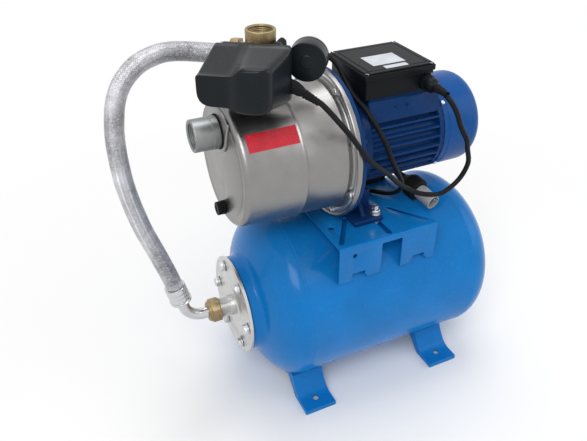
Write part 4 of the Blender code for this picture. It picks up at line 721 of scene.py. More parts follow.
def tube_along(name, line, radius, sides, ends=None):
    """A round tube along a line, with its own map: round it, and along it in metres.

    ends gives a radius at each point.
    """
    mesh = bmesh.new()
    sheet = mesh.loops.layers.uv.new("UVMap")
    side = (line[1] - line[0]).cross(UP)
    side = (side if side.length > 1e-6 else Vector((1, 0, 0))).normalized()
    rings, reach, travelled = [], [], 0.0
    for k, at in enumerate(line):
        way = (line[min(k + 1, len(line) - 1)] - line[max(k - 1, 0)]).normalized()
        side = (side - way * side.dot(way)).normalized()
        across = way.cross(side)
        wide = ends[k] if ends else radius
        rings.append([mesh.verts.new(at + wide * (cos(a) * side + sin(a) * across)) for a in around(sides)])
        travelled += (at - line[k - 1]).length if k else 0.0
        reach.append(travelled)
    for k in range(len(rings) - 1):
        for n in range(sides):
            m = (n + 1) % sides
            face = mesh.faces.new((rings[k][n], rings[k][m], rings[k + 1][m], rings[k + 1][n]))
            face.smooth = True
            for corner, (u, v) in zip(face.loops, ((n, k), (n + 1, k), (n + 1, k + 1), (n, k + 1))):
                corner[sheet].uv = (u / sides, reach[v])
    mesh.faces.new(rings[0][::-1])
    mesh.faces.new(rings[-1])
    bmesh.ops.recalc_face_normals(mesh, faces=mesh.faces)
    data = bpy.data.meshes.new(name)
    mesh.to_mesh(data)
    mesh.free()
    thing = bpy.data.objects.new(name, data)
    bpy.context.scene.collection.objects.link(thing)
    return thing


def seen_directly(tree):
    """1 for rays from the camera, off metal or through glass, so all of them see the same white."""
    ray = tree.nodes.new("ShaderNodeLightPath")
    total = ray.outputs["Is Camera Ray"]
    for other in ("Is Glossy Ray", "Is Transmission Ray"):
        add = tree.nodes.new("ShaderNodeMath")
        add.operation = "MAXIMUM"
        tree.links.new(total, add.inputs[0])
        tree.links.new(ray.outputs[other], add.inputs[1])
        total = add.outputs[0]
    return total


def floor_finish():
    """A white floor that fades into the white background and keeps the pump's shadow."""
    made = Finish("pale floor", (0.98, 0.96, 0.93), 0.9)
    tree = made.tree
    show = tree.nodes.new("ShaderNodeEmission")
    show.inputs["Color"].default_value = (1, 1, 1, 1)
    blend = tree.nodes.new("ShaderNodeMixShader")
    tree.links.new((made.span(made.away(), 0.34, 0.9)).socket, blend.inputs[0])
    tree.links.new(made.shader.outputs[0], blend.inputs[1])
    tree.links.new(show.outputs[0], blend.inputs[2])
    tree.links.new(blend.outputs[0], tree.nodes["Material Output"].inputs[0])
    return made.material


# Each lamp's name, place, width and watts
LAMPS = (("key", (-1.6, -1.8, 2.6), 1.6, 46), ("fill", (2.2, -1.2, 1.6), 1.8, 14),
         ("top", (0.2, 0.6, 2.8), 1.5, 26))


class PUMP_OT_stage(bpy.types.Operator):
    """Lays the floor, sets the lights and places the camera"""
    bl_idname = "pump.stage"
    bl_label = "Stage"

    def execute(self, context):
        bpy.ops.mesh.primitive_circle_add(vertices=96, radius=1.35, fill_type="NGON",
                                          location=(0.05, 0.1, -0.0002))
        floor = context.object
        floor.name = "floor"
        floor.data.materials.append(floor_finish())
        world = bpy.data.worlds.new("studio")
        context.scene.world = world
        world.use_nodes = True
        nodes, links = world.node_tree.nodes, world.node_tree.links
        soft = nodes["Background"]
        soft.inputs[0].default_value = (0.9, 0.94, 1.0, 1)
        soft.inputs[1].default_value = 0.5
        plain = nodes.new("ShaderNodeBackground")
        plain.inputs[0].default_value = (1, 1, 1, 1)
        plain.inputs[1].default_value = 1.0
        choose = nodes.new("ShaderNodeMixShader")
        links.new(seen_directly(world.node_tree), choose.inputs[0])
        links.new(soft.outputs[0], choose.inputs[1])
        links.new(plain.outputs[0], choose.inputs[2])
        links.new(choose.outputs[0], nodes["World Output"].inputs[0])
        for name, at, size, power in LAMPS:
            lamp = bpy.data.lights.new(name, "AREA")
            lamp.size = size
            lamp.energy = power
            thing = bpy.data.objects.new(name, lamp)
            context.scene.collection.objects.link(thing)
            thing.location = at
            thing.rotation_euler = (Vector((0, 0, 0.28)) - Vector(at)).to_track_quat("-Z", "Y").to_euler()
        lens = bpy.data.cameras.new("camera")
        lens.sensor_width = 36
        lens.lens = sizes().camera_lens
        lens.clip_start = 0.01
        eye = bpy.data.objects.new("camera", lens)
        context.scene.collection.objects.link(eye)
        right = Vector((0.90295, -0.42976, 0))
        up = Vector((0.23906, 0.50279, 0.83069))
        eye.matrix_world = framed((-0.43557, -0.71625, 0.80888), right, up)
        context.scene.camera = eye
        context.scene.view_settings.view_transform = "Standard"
        return {"FINISHED"}


class PUMP_OT_finishes(bpy.types.Operator):
    """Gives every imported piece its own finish"""
    bl_idname = "pump.finishes"
    bl_label = "Finishes"

    def execute(self, context):
        mix_paints()
        slots = {part["node"]: part["material_slot"] for part in frame["record"]["subparts"]}
        for name, thing in frame["nodes"].items():
            chosen = PAINTS[SLOT_PAINTS.get(slots[name], "filled")]
            if not thing.material_slots:
                thing.data.materials.append(chosen)
            for slot in thing.material_slots:
                slot.material = chosen
        return {"FINISHED"}


def head_points(radius, depth, inner, steps):
    """(depth, radius) points of a dished head from the barrel to its inner radius."""
    last = asin(inner / radius)
    return [(depth * cos(a), radius * sin(a))
            for a in [pi / 2 + (last - pi / 2) * k / steps for k in range(steps + 1)]]


def bead(at, radius, height, width):
    """A weld bead's points in a profile."""
    return [(at - width / 2, radius), (at - width / 4, radius + 0.8 * height), (at, radius + height),
            (at + width / 4, radius + 0.8 * height), (at + width / 2, radius)]


class PUMP_OT_tank(bpy.types.Operator):
    """Makes the tank's shell with its neck, weld seams and dished heads"""
    bl_idname = "pump.tank"
    bl_label = "Tank"

    def execute(self, context):
        radius, depth, barrel, neck = TANK_RADIUS, HEAD_DEPTH, TANK_BARREL, 0.0725
        start = TANK_X - barrel / 2
        front = [(-d, r) for d, r in head_points(radius, depth, neck + 0.004, 22)]
        rear = [(barrel + d, r) for d, r in head_points(radius, depth, 0.0066, 26)]
        thin = [(-d, r) for d, r in head_points(radius - 0.0018, depth - 0.0018, 0.048, 12)]
        thin_rear = [(barrel + d, r) for d, r in head_points(radius - 0.0018, depth - 0.0018, 0.0066, 12)]
        face = -0.0701
        profile = [(face, 0.048), (face, neck - 0.001), (face + 0.001, neck), (-0.0585, neck),
                   (-0.0558, neck + 0.0012)]
        profile += front[::-1][:-1]
        for at in (0.0, barrel):
            profile += bead(at, radius - 0.0003, 0.0005, 0.005)
        profile += rear[1:] + thin_rear[::-1] + thin
        shell = turned("tank_shell_skin", profile, (start, 0, TANK_Z), BACK, 120, ring=True)
        dress(shell, "tank", ["tank_shell"])
        return {"FINISHED"}


def bolt_circle(radius, count, start=0.0):
    """Places on a circle, across and up."""
    return [(radius * cos(a), radius * sin(a)) for a in around(count, start)]


class PUMP_OT_flange(bpy.types.Operator):
    """Makes the tank's bolted cover, its threaded stub and six bolts"""
    bl_idname = "pump.flange"
    bl_label = "Flange"

    def execute(self, context):
        back = (FLANGE_FACE_X + 0.004, 0, TANK_Z)
        stub = 0.0155
        threads = []
        for k in range(12):
            at = 0.0125 + k * 0.0018
            threads += [(at, stub - 0.001), (at + 0.0009, stub)]
        profile = [(0, 0.0125), (0, 0.0752)] + arc((0.0025, 0.0742), 0.0015, 60, 0, 3)
        profile += [(0.0042, 0.0722), (0.0032, 0.07), (0.0032, 0.05), (0.004, 0.0485), (0.004, 0.029),
                    (0.0056, 0.027), (0.0056, stub)]
        profile += [(0.0115, stub)] + threads + [(0.0353, stub - 0.001), (0.0353, 0.0125)]
        flange = turned("flange_plate", profile, back, AHEAD, 96, ring=True)
        for y, z in bolt_circle(0.06, 6):
            carve(flange, cylinder("hole", 0.0043, -0.003, 0.008, (back[0], y, TANK_Z + z), AHEAD, 20))
        resmooth(flange)
        dress(flange, "flange", ["tank_flange"])
        washer = [(0.0003, 0.0045), (0.0003, 0.0082), (0.0016, 0.0082), (0.0018, 0.0078), (0.0018, 0.0045)]
        parts = []
        for k, (y, z) in enumerate(bolt_circle(0.06, 6)):
            at = (FLANGE_FACE_X, y, TANK_Z + z)
            parts += [turned(f"washer_{k}", washer, at, AHEAD, 28, ring=True),
                      hex_head(f"head_{k}", 0.013, 0.0016, 0.0066, at, AHEAD, turn=0.35 * k)]
        dress(merge_pieces("flange_bolt_heads", parts), "zinc", ["flange_bolts"])
        return {"FINISHED"}


def hex_head(name, flats, start, end, origin, axis, turn=0.0):
    """A bolt head or nut with its corners turned off."""
    head = cut_sheet(name, hexagon(flats, turn), end - start,
                     facing(Vector(origin) + start * Vector(axis), axis))
    corner = flats / sqrt(3)
    height = end - start
    cone = turned(name + "_cone",
                  [(start - 0.001, 0), (start - 0.001, corner * 1.05), (end - height * 0.18, corner * 1.02),
                   (end, flats * 0.47), (end, 0)], origin, axis, 36)
    blend_in(head, cone, "INTERSECT")
    return ease(head, 0.0003, 1, 40)


class PUMP_OT_feet(bpy.types.Operator):
    """Makes the two pressed saddles under the tank"""
    bl_idname = "pump.feet"
    bl_label = "Feet"

    def execute(self, context):
        outer, toe, pad, lip, steel, width = TANK_RADIUS + 0.0004, 0.125, 0.035, 0.008, 0.0025, 0.0517
        knee, reach = toe - pad, 0.5 * TANK_RADIUS

        def bow(radius, steps, half):
            last = asin(half / radius)
            return [(radius * sin(a), TANK_Z - radius * cos(a))
                    for a in [-last + 2 * last * k / steps for k in range(steps + 1)]]

        def knee_curve(side, drop):
            """The rounded corner where the pad turns up to the saddle."""
            first, last = (toe - 0.02, lip - drop), (0.0745, 0.0375 - drop)
            middle = (knee - 0.0015, lip - drop)
            points = []
            for k in range(9):
                t = k / 8
                a, b, c = (1 - t) ** 2, 2 * t * (1 - t), t * t
                points.append((side * (a * first[0] + b * middle[0] + c * last[0]),
                               a * first[1] + b * middle[1] + c * last[1]))
            return points

        for side, name in ((-1, "left"), (1, "right")):
            middle = TANK_X - 0.0093 + side * 0.115
            start = middle - width / 2
            top = [(-toe, lip)] + knee_curve(-1, 0.0) + bow(outer, 24, reach)
            top += knee_curve(1, 0.0)[::-1] + [(toe, lip)]
            bottom = [(toe, 0), (knee - 0.5 * lip, 0)] + bow(outer + lip, 16, reach - lip)[::-1]
            bottom += [(-knee + 0.5 * lip, 0), (-toe, 0)]
            foot = cut_sheet(f"foot_{name}", top + bottom, width, framed((start, 0, 0), (0, 1, 0), UP))
            hollow = [(-toe + steel, lip - steel)] + knee_curve(-1, steel)
            hollow += bow(outer + steel, 16, reach - 0.001) + knee_curve(1, steel)[::-1]
            hollow += [(toe - steel, lip - steel), (toe - steel, -0.01), (-toe + steel, -0.01)]
            carve(foot,
                  cut_sheet("hollow", hollow, width - 2 * steel,
                            framed((start + steel, 0, 0), (0, 1, 0), UP)))
            ease(foot, 0.0011, 3, 40)
            for end in (-1, 1):
                carve(foot, cylinder("hole", 0.0048, -0.01, 0.02, (middle, end * (toe - 0.0202), 0), UP, 28))
            resmooth(foot)
            dress(foot, "tank", [f"tank_foot_{name}"])
        return {"FINISHED"}


def slot_tool(name, start, end, width):
    """A long hole with round ends, to be cut from the bench's plate."""
    start, end = Vector(start), Vector(end)
    along = (end - start).to_3d()
    half = width / 2
    bow = [k * pi / 8 for k in range(9)]
    outline = [(along.length + half * sin(a), -half * cos(a)) for a in bow]
    outline += [(-half * sin(a), half * cos(a)) for a in bow]
    return cut_sheet(name, outline, 0.03, framed((start.x, start.y, PLATE_Z - 0.015), along, UP.cross(along)))


class PUMP_OT_bench(bpy.types.Operator):
    """Makes the slotted plate on the tank and its legs"""
    bl_idname = "pump.bench"
    bl_label = "Bench"

    def execute(self, context):
        half, width, steel = 0.08, 0.1096, 0.0025
        low = TANK_Z + sqrt(TANK_RADIUS ** 2 - (width - steel) ** 2) + TOUCH
        start, end = BRACKET_X - half, BRACKET_X + half
        bench = brick("bench", (start, -width, low), (end, width, PLATE_Z))
        carve(bench,
              brick("under", (start - 0.01, -width + steel, low - 0.01),
                    (end + 0.01, width - steel, PLATE_Z - steel)))
        pick(bench)
        bpy.ops.object.mode_set(mode="EDIT")
        bpy.ops.mesh.select_mode(type="EDGE")
        bpy.ops.mesh.select_all(action="DESELECT")
        bpy.ops.object.mode_set(mode="OBJECT")
        for edge in bench.data.edges:
            a, b = (bench.data.vertices[v].co for v in edge.vertices)
            along = abs(a.y - b.y) < 1e-5 and abs(a.z - b.z) < 1e-5
            edge.select = along and abs(abs(a.y) - width) < 1e-4 and a.z > PLATE_Z - 0.001
        bpy.ops.object.mode_set(mode="EDIT")
        bpy.ops.mesh.bevel(offset=0.0026, segments=5, affect="EDGES")
        bpy.ops.object.mode_set(mode="OBJECT")
        x = BRACKET_X
        for side in (-1, 1):
            middle = side * (width - steel / 2)
            gap_x = x + 0.0048
            near, far = middle - 0.01, middle + 0.01
            carve(bench,
                  brick("gap", (gap_x - 0.01675, near, low - 0.01), (gap_x + 0.01675, far, PLATE_Z - 0.009)))
            for start, end, hook in ((-0.058, -0.034, -0.0375), (0.0417, 0.0663, 0.0626)):
                carve(bench, brick("notch", (x + start, near, low - 0.01), (x + hook, far, low + 0.0125)))
                carve(bench,
                      brick("notch", (x + hook - 0.001, near, low - 0.01), (x + end, far, low + 0.0045)))
            carve(bench,
                  cylinder("hole", 0.0035, -0.01, 0.01, (x - 0.0557, middle, PLATE_Z - 0.017), (0, 1, 0), 24))
            carve(bench, cylinder("hole", 0.0045, -0.01, 0.01, (x - 0.0658, side * 0.057, PLATE_Z), UP, 28))
            for across in (-1, 1):
                carve(bench,
                      slot_tool("slot", (x + across * 0.0366, side * 0.0449),
                                (x + across * 0.0703, side * 0.0958), 0.007))
            carve(bench, slot_tool("slot", (FOOT_BOLT_X, side * 0.05), (FOOT_BOLT_X, side * 0.1), 0.009))
        ease(bench, 0.0004, 2, 50)
        resmooth(bench)
        dress(bench, "tank", ["pump_bracket"])
        return {"FINISHED"}


def casing_radius(along):
    """The casing's outer radius at a distance ahead of its joint with the motor."""
    return 0.0905 - 0.0043 * (along - 0.0021) / 0.1434


def casing_screw_places():
    """Where the casing's screws stand round its joint."""
    return bolt_circle(0.0965, 8, radians(22.5))


def wall_patch(name, profile, first, last, thick, steps=24):
    """A thin patch on a turned wall: a profile of (along, radius) spun between two angles from the top."""
    points = [(radius, 0, along) for along, radius in profile]
    patch = seed_vertex(name, points[0])
    draw_line(points)
    bpy.ops.mesh.select_all(action="SELECT")
    bpy.ops.mesh.spin(steps=steps, angle=radians(last - first), center=(0, 0, 0), axis=(0, 0, 1))
    bpy.ops.object.mode_set(mode="OBJECT")
    settle(patch, facing((JOINT_X, 0, PUMP_Z), AHEAD) @ Matrix.Rotation(radians(last), 4, "Z"))
    wall = patch.modifiers.new("wall", "SOLIDIFY")
    wall.thickness = thick
    wall.offset = 0.0
    bpy.ops.object.modifier_apply(modifier=wall.name)
    bpy.ops.object.shade_smooth_by_angle(angle=radians(30))
    return patch


class PUMP_OT_casing(bpy.types.Operator):
    """Makes the drawn steel casing: rolled rim, seam, pressed port boss and discharge stub"""
    bl_idname = "pump.casing"
    bl_label = "Casing"

    def execute(self, context):
        front, edge, back, seam, rim = CASING_LENGTH, 0.0075, 0.0021, 0.0712, 0.1062
        corner = front - edge
        shoulder = casing_radius(corner)
        profile = [(front - 0.0002, 0), (front - 0.0002, 0.069), (front - 0.0005, 0.0698),
                   (front - 0.0011, 0.0706), (front - 0.0013, 0.0714)]
        profile += [(front - 0.0012, 0.073), (front - 0.0005, shoulder - edge)]
        profile += arc((corner, shoulder - edge), edge, 15, 90, 9)
        wall = casing_radius(seam)
        profile += [(seam + 0.003, wall), (seam + 0.0016, wall + 0.0008), (seam + 0.0005, wall + 0.0013),
                    (seam - 0.0005, wall + 0.0013), (seam - 0.0016, wall + 0.0008), (seam - 0.003, wall)]
        profile += [(0.015, 0.0902), (0.0138, 0.0909), (0.0122, 0.0912), (0.0108, 0.0909), (0.0098, 0.0904),
                    (0.0074, 0.0906)]
        profile += [(0.0056, 0.0912), (0.0044, 0.0926), (0.0041, 0.094), (0.0041, 0.0994), (0.0046, 0.1004)]
        profile += [(0.0066, 0.1014), (0.0077, 0.1026), (0.0081, 0.1038), (0.0078, 0.105), (0.0068, 0.1059),
                    (0.0055, rim), (back, rim)]
        profile += [(back, 0.0885), (corner, shoulder - 0.002)]
        profile += arc((corner, shoulder - edge), edge - 0.002, 60, 0, 3)
        profile += [(front - 0.002, 0)]
        body = turned("casing_shell", profile, (JOINT_X, 0, PUMP_Z), AHEAD, 96)
        boss = [(0.0275 * cos(a), SUCTION_RISE + 0.0275 * sin(a))
                for a in [radians(-4 - 172 * k / 14) for k in range(15)]]
        boss += [(0.0812 * cos(a), 0.0812 * sin(a)) for a in [radians(118 - 56 * k / 8) for k in range(9)]]
        boss_place = framed((JOINT_X - front + 0.0015, 0, PUMP_Z), (0, -1, 0), UP)
        weld(body, cut_sheet("boss", boss, 0.005, boss_place, 0.0031, 4))
        top = (FITTING_X, 0, PUMP_Z)
        base = casing_radius(0.0931)
        stub = [(base - 0.008, 0), (base - 0.008, 0.029), (base - 0.003, 0.0285), (base - 0.0005, 0.0262),
                (base + 0.0016, 0.0222), (base + 0.004, 0.0205), (0.108, 0.0205), (0.1086, 0.0212),
                (0.1144, 0.0212), (0.115, 0.0206), (0.115, 0)]
        weld(body, turned("stub", stub, top, UP, 48))
        carve(body, cylinder("bore", 0.016, base - 0.02, 0.13, top, UP, 40),
              cylinder("hole", 0.0216, front - 0.01, front + 0.02,
                       (JOINT_X, 0, PUMP_Z + SUCTION_RISE), AHEAD, 48),
              cylinder("hole", 0.0063, front - 0.01, front + 0.01,
                       (JOINT_X, 0, PUMP_Z - DRAIN_DROP), AHEAD, 24))
        resmooth(body, 32)
        dress(body, "casing", ["pump_casing"])
        lift = 0.00022
        edge_line = [(0.0747, casing_radius(0.0747) + lift), (0.1418, casing_radius(0.1418) + lift)]
        label = wall_patch("casing_label", edge_line, -57, -41.5, 0.00018)
        dress(label, "label")
        return {"FINISHED"}


class PUMP_OT_casing_screws(bpy.types.Operator):
    """Makes the clamping ring with eight flanged screws in the rim's groove"""
    bl_idname = "pump.casing_screws"
    bl_label = "Casing screws"

    def execute(self, context):
        ring = turned("clamp_ring",
                      [(0.0044, 0.0934), (0.0044, 0.0996), (0.005, 0.0996), (0.0053, 0.0992),
                       (0.0053, 0.0938), (0.005, 0.0934)], (JOINT_X, 0, PUMP_Z), AHEAD, 96, ring=True)
        parts = [ring]
        for k, (y, z) in enumerate(casing_screw_places()):
            at = (JOINT_X, y, PUMP_Z + z)
            parts += [turned(f"collar_{k}",
                             [(0.005, 0), (0.005, 0.0058), (0.0057, 0.0058), (0.0062, 0.0046), (0.0062, 0)],
                             at, AHEAD, 24),
                      hex_head(f"screw_{k}", 0.0082, 0.0058, 0.0098, at, AHEAD, turn=0.4 * k)]
        dress(merge_pieces("casing_screw_heads", parts), "zinc", ["casing_screws"])
        return {"FINISHED"}


class PUMP_OT_inlet(bpy.types.Operator):
    """Makes the grey threaded inlet port and the rubber ring behind it"""
    bl_idname = "pump.inlet"
    bl_label = "Inlet"

    def execute(self, context):
        outer, bore, inside, end = 0.0213, 0.0165, 0.1499, 0.1912
        origin = (JOINT_X, 0, PUMP_Z + SUCTION_RISE)
        thread = []
        for k in range(9):
            at = end - 0.0022 - k * 0.0021
            thread += [(at, bore + 0.0001), (at - 0.00105, bore + 0.001)]
        profile = [(inside - 0.0055, bore), (inside - 0.0055, outer), (0.1598, outer),
                   (0.1602, outer + 0.0006), (0.1668, outer + 0.0006), (0.1673, outer), (end - 0.0014, outer)]
        profile += arc((end - 0.0012, outer - 0.0012), 0.0012, 60, 20, 2)
        profile += [(end, outer - 0.0013), (end, bore + 0.0018), (end - 0.0016, bore + 0.0001)] + thread
        profile += [(end - 0.0215, bore)]
        port = turned("inlet_port", profile, origin, AHEAD, 72, ring=True)
        dress(port, "port", ["suction_port"])
        ring = outer + TOUCH
        seal = turned("inlet_seal",
                      [(0.1568, ring), (0.1568, ring + 0.0013), (0.1573, ring + 0.0016),
                       (0.1578, ring + 0.0014), (0.1581, ring + 0.0008), (0.1581, ring)], origin, AHEAD, 56,
                      ring=True)
        dress(seal, "rubber", ["suction_seal"])
        return {"FINISHED"}


def fluted(radius, depth, flutes, fine=6):
    """A round outline with shallow grip flutes."""
    return [((radius - depth * max(0.0, cos(flutes * a)) ** 2) * cos(a),
             (radius - depth * max(0.0, cos(flutes * a)) ** 2) * sin(a)) for a in around(flutes * fine)]


class PUMP_OT_drain(bpy.types.Operator):
    """Makes the fluted hand plug under the inlet"""
    bl_idname = "pump.drain"
    bl_label = "Drain plug"

    def execute(self, context):
        face, radius, length = 0.1533, 0.0098, 0.012
        origin = Vector((JOINT_X, 0, PUMP_Z - DRAIN_DROP))
        head = cut_sheet("drain_head", fluted(radius - 0.0004, 0.0011, 12), length - 0.0042,
                         framed(origin + (face + 0.0042) * AHEAD, (0, -1, 0), UP), 0.0009, 3, 35)
        body = turned("drain_body",
                      [(face - 0.006, 0), (face - 0.006, 0.006), (face, 0.006), (face, radius - 0.0003),
                       (face + 0.0004, radius), (face + 0.0036, radius), (face + 0.0042, radius - 0.001),
                       (face + 0.005, radius - 0.0022), (face + 0.005, 0)], origin, AHEAD, 48)
        dimple = turned("dimple",
                        [(face + length + 0.001, 0), (face + length + 0.001, 0.0062),
                         (face + length - 0.001, 0.005), (face + length - 0.001, 0)], origin, AHEAD, 32)
        carve(head, dimple)
        resmooth(head, 35)
        dress(merge_pieces("drain_plug_head", [body, head]), "black", ["drain_plug"],
              body="drain")
        return {"FINISHED"}


class PUMP_OT_motor_front(bpy.types.Operator):
    """Makes the motor's cast front shield with its ribs and foot"""
    bl_idname = "pump.motor_front"
    bl_label = "Motor front"

    def execute(self, context):
        depth, rim, spigot, hub = 0.038, 0.1045, 0.0665, 0.0245
        origin = (JOINT_X, 0, PUMP_Z)
        bell = [(0, 0.0095), (0, rim - 0.0005), (0.0005, rim), (0.0052, rim), (0.0062, rim - 0.0012),
                (0.0068, rim - 0.0055), (0.008, 0.0952), (0.0105, 0.0905), (0.016, 0.08), (0.0215, 0.0718),
                (0.0262, 0.0678), (0.0295, spigot), (depth, spigot), (depth, 0.056), (0.03, 0.054),
                (0.0135, 0.054), (0.012, hub + 0.004), (0.012, hub), (depth - 0.001, hub),
                (depth - 0.001, 0.0203), (0.0237, 0.0203), (0.0237, 0.0095)]
        body = turned("front_shield", bell, origin, BACK, 96, ring=True)
        foot_x = JOINT_X + 0.0133
        base_z = PLATE_Z + TOUCH
        base = brick("foot_base", (foot_x, -0.072, base_z), (foot_x + 0.047, 0.072, base_z + 0.008), 0.0024,
                     segments=3)
        block = brick("foot_block", (foot_x + 0.004, -0.038, base_z + 0.004),
                      (foot_x + 0.043, 0.038, PUMP_Z - 0.0715), 0.0022)
        web = brick("foot_web", (foot_x + 0.005, -0.0432, base_z + 0.003),
                    (JOINT_X + depth - 0.0006, 0.0432, PUMP_Z - 0.061), 0.0022)
        weld(body, web, block, base)
        for side in (-1, 1):
            gusset = [(0.0, 0.0), (0.026, 0.0), (0.003, 0.022), (0.0, 0.022)]
            place = framed((foot_x + 0.0235, side * 0.036, base_z + 0.0072), (0, side, 0), UP)
            weld(body, cut_sheet("gusset", gusset, 0.006, place, 0.0008, 2))
            carve(body,
                  cylinder("hole", 0.004, -0.01, 0.02, (FOOT_BOLT_X, side * FOOT_BOLT_Y, base_z), UP, 24))
        for a in around(8, radians(22.5)):
            if sin(a) > -0.8:
                rib = [(0.0065, 0.094), (0.0292, 0.064), (0.0292, 0.07), (0.014, 0.0935), (0.0065, 0.0985)]
                turn = framed(origin, (1, 0, 0), (0, cos(a), sin(a))) @ Matrix.Translation((0, 0, -0.002))
                weld(body, cut_sheet("rib", rib, 0.004, turn, 0.0006, 2))
        resmooth(body, 33)
        dress(body, "motor", ["motor_bracket"])
        return {"FINISHED"}


class PUMP_OT_foot_bolts(bpy.types.Operator):
    """Makes the studs with nuts and washers that hold the motor's foot to the bench"""
    bl_idname = "pump.foot_bolts"
    bl_label = "Foot bolts"

    def execute(self, context):
        for side, name in ((-1, "foot_bolt_near"), (1, "foot_bolt_far")):
            at = Vector((FOOT_BOLT_X, side * FOOT_BOLT_Y, PLATE_Z))
            stud = [(-0.0052, 0), (-0.0052, 0.003)]
            for k in range(10):
                stud += [(0.016 + k * 0.00065, 0.0035), (0.016 + k * 0.00065 + 0.0003, 0.0031)]
            stud += [(0.0226, 0.0024), (0.0226, 0)]
            washer = [(0.0086, 0.0036), (0.0086, 0.0074), (0.0089, 0.0077), (0.0099, 0.0077),
                      (0.0101, 0.0074), (0.0101, 0.0036)]
            spring = [(0.0101, 0.0036), (0.0101, 0.006), (0.0113, 0.006), (0.0113, 0.0036)]
            parts = [turned("stud", stud, at, UP, 24),
                     turned("washer", washer, at, UP, 36, ring=True),
                     turned("spring_washer", spring, at, UP, 28, ring=True),
                     hex_head("nut", 0.0118, 0.0113, 0.0163, at, UP, 0.3),
                     hex_head("head", 0.0118, 0.003, 0.0067, at, -UP, 0.1)]
            dress(merge_pieces(name + "_set", parts), "zinc", [name])
        return {"FINISHED"}


class PUMP_OT_housing(bpy.types.Operator):
    """Makes the motor's finned shell with the smooth saddle under the box"""
    bl_idname = "pump.housing"
    bl_label = "Motor housing"

    def execute(self, context):
        start, length, skin, tip = JOINT_X + 0.0383, HOUSING_LENGTH, 0.058, 0.0669
        outline = []
        for a in around(30, pi / 2):
            for radius, off in ((skin + 0.0004, -0.066), (skin + 0.0012, -0.048), (tip - 0.0006, -0.0245),
                                (tip, -0.019), (tip, 0.019), (tip - 0.0006, 0.0245), (skin + 0.0012, 0.048),
                                (skin + 0.0004, 0.066), (skin, 0.105)):
                outline.append((radius * cos(a + off), radius * sin(a + off)))
        shell = cut_sheet("finned_shell", outline, length, framed((start, 0, PUMP_Z), (0, 1, 0), UP))
        saddle = [(-0.043, 0.035), (0.043, 0.035), (0.0434, 0.048), (0.043, 0.0712), (-0.043, 0.0712),
                  (-0.0434, 0.048)]
        weld(shell,
             cut_sheet("saddle", saddle, length - 0.008, framed((start + 0.002, 0, PUMP_Z), (0, 1, 0), UP),
                       0.0015, 3))
        across = (0, 1, 0)
        for side in (-1, 1):
            cheek = [(side * 0.0425, 0.069), (side * 0.046, 0.066), (side * 0.054, 0.0405),
                     (side * 0.052, 0.038), (side * 0.03, 0.038)]
            weld(shell,
                 cut_sheet("cheek", cheek[::side], length - 0.001,
                           framed((start + 0.0005, 0, PUMP_Z), across, UP), 0.0012, 2))
            for x in (0.042, 0.06):
                weld(shell,
                     cylinder("pip", 0.0016, 0.0, 0.0022, (start + x, side * 0.0485, PUMP_Z + 0.0565),
                              (0, side, 0.3), 14))
        ring = turned("band",
                      [(length - 0.0035, skin - 0.001), (length - 0.0035, tip + 0.0001),
                       (length, tip + 0.0001), (length, skin - 0.001)], (start, 0, PUMP_Z), BACK, 96,
                      ring=True)
        weld(shell, ring)
        carve(shell, cylinder("bore", 0.0555, -0.01, length + 0.01, (start, 0, PUMP_Z), BACK, 96))
        resmooth(shell, 32)
        dress(shell, "motor", ["motor_housing"])
        return {"FINISHED"}


class PUMP_OT_cowl(bpy.types.Operator):
    """Makes the drawn fan cover with its slotted end and small screws"""
    bl_idname = "pump.cowl"
    bl_label = "Fan cover"

    def execute(self, context):
        start, length, steel, corner, radius = 0.1549, 0.068, 0.0012, 0.02, 0.067
        end = start + length
        origin = Vector((JOINT_X, 0, PUMP_Z))
        outer = [(start, radius - 0.0006), (start + 0.0006, radius), (start + 0.0072, radius),
                 (start + 0.008, radius - 0.0006), (start + 0.0088, radius)]
        outer += [(end - corner + corner * sin(radians(a)), radius - corner + corner * cos(radians(a)))
                  for a in range(0, 91, 9)]
        outer += [(end, 0.013), (end - 0.0009, 0.0118), (end - 0.0009, 0)]
        thin = corner - steel
        inner = [(end - 0.0009 - steel, 0)]
        inner += [(end - corner + thin * sin(radians(a)), radius - corner + thin * cos(radians(a)))
                  for a in range(90, -1, -15)]
        cover = turned("cowl", outer + inner + [(start, radius - steel)], origin, BACK, 96, ring=False)
        pick(cover)
        for k, a in enumerate(around(12, radians(5))):
            turn = Matrix.Translation(origin) @ Matrix.Rotation(a, 4, "X")
            reach = radius - corner - 0.003
            low = 0.014 if k % 2 == 0 else 0.027
            carve(cover,
                  brick("slot", (end - 0.006, low, -0.0021), (end + 0.006, reach, 0.0021), 0.0018, turn, 3))
        resmooth(cover, 30)
        parts = []
        for k, a in enumerate(around(4, radians(45))):
            way = Vector((0, cos(a), sin(a)))
            parts.append(turned(f"cowl_screw_{k}",
                                [(radius - 0.0002, 0), (radius - 0.0002, 0.003), (radius + 0.0008, 0.0028),
                                 (radius + 0.0015, 0.0016), (radius + 0.0017, 0)],
                                origin + (start + 0.004) * BACK, way, 20))
        dress(cover, "cowl", ["fan_cover"])
        dress(merge_pieces("cowl_screws", parts), "zinc")
        return {"FINISHED"}


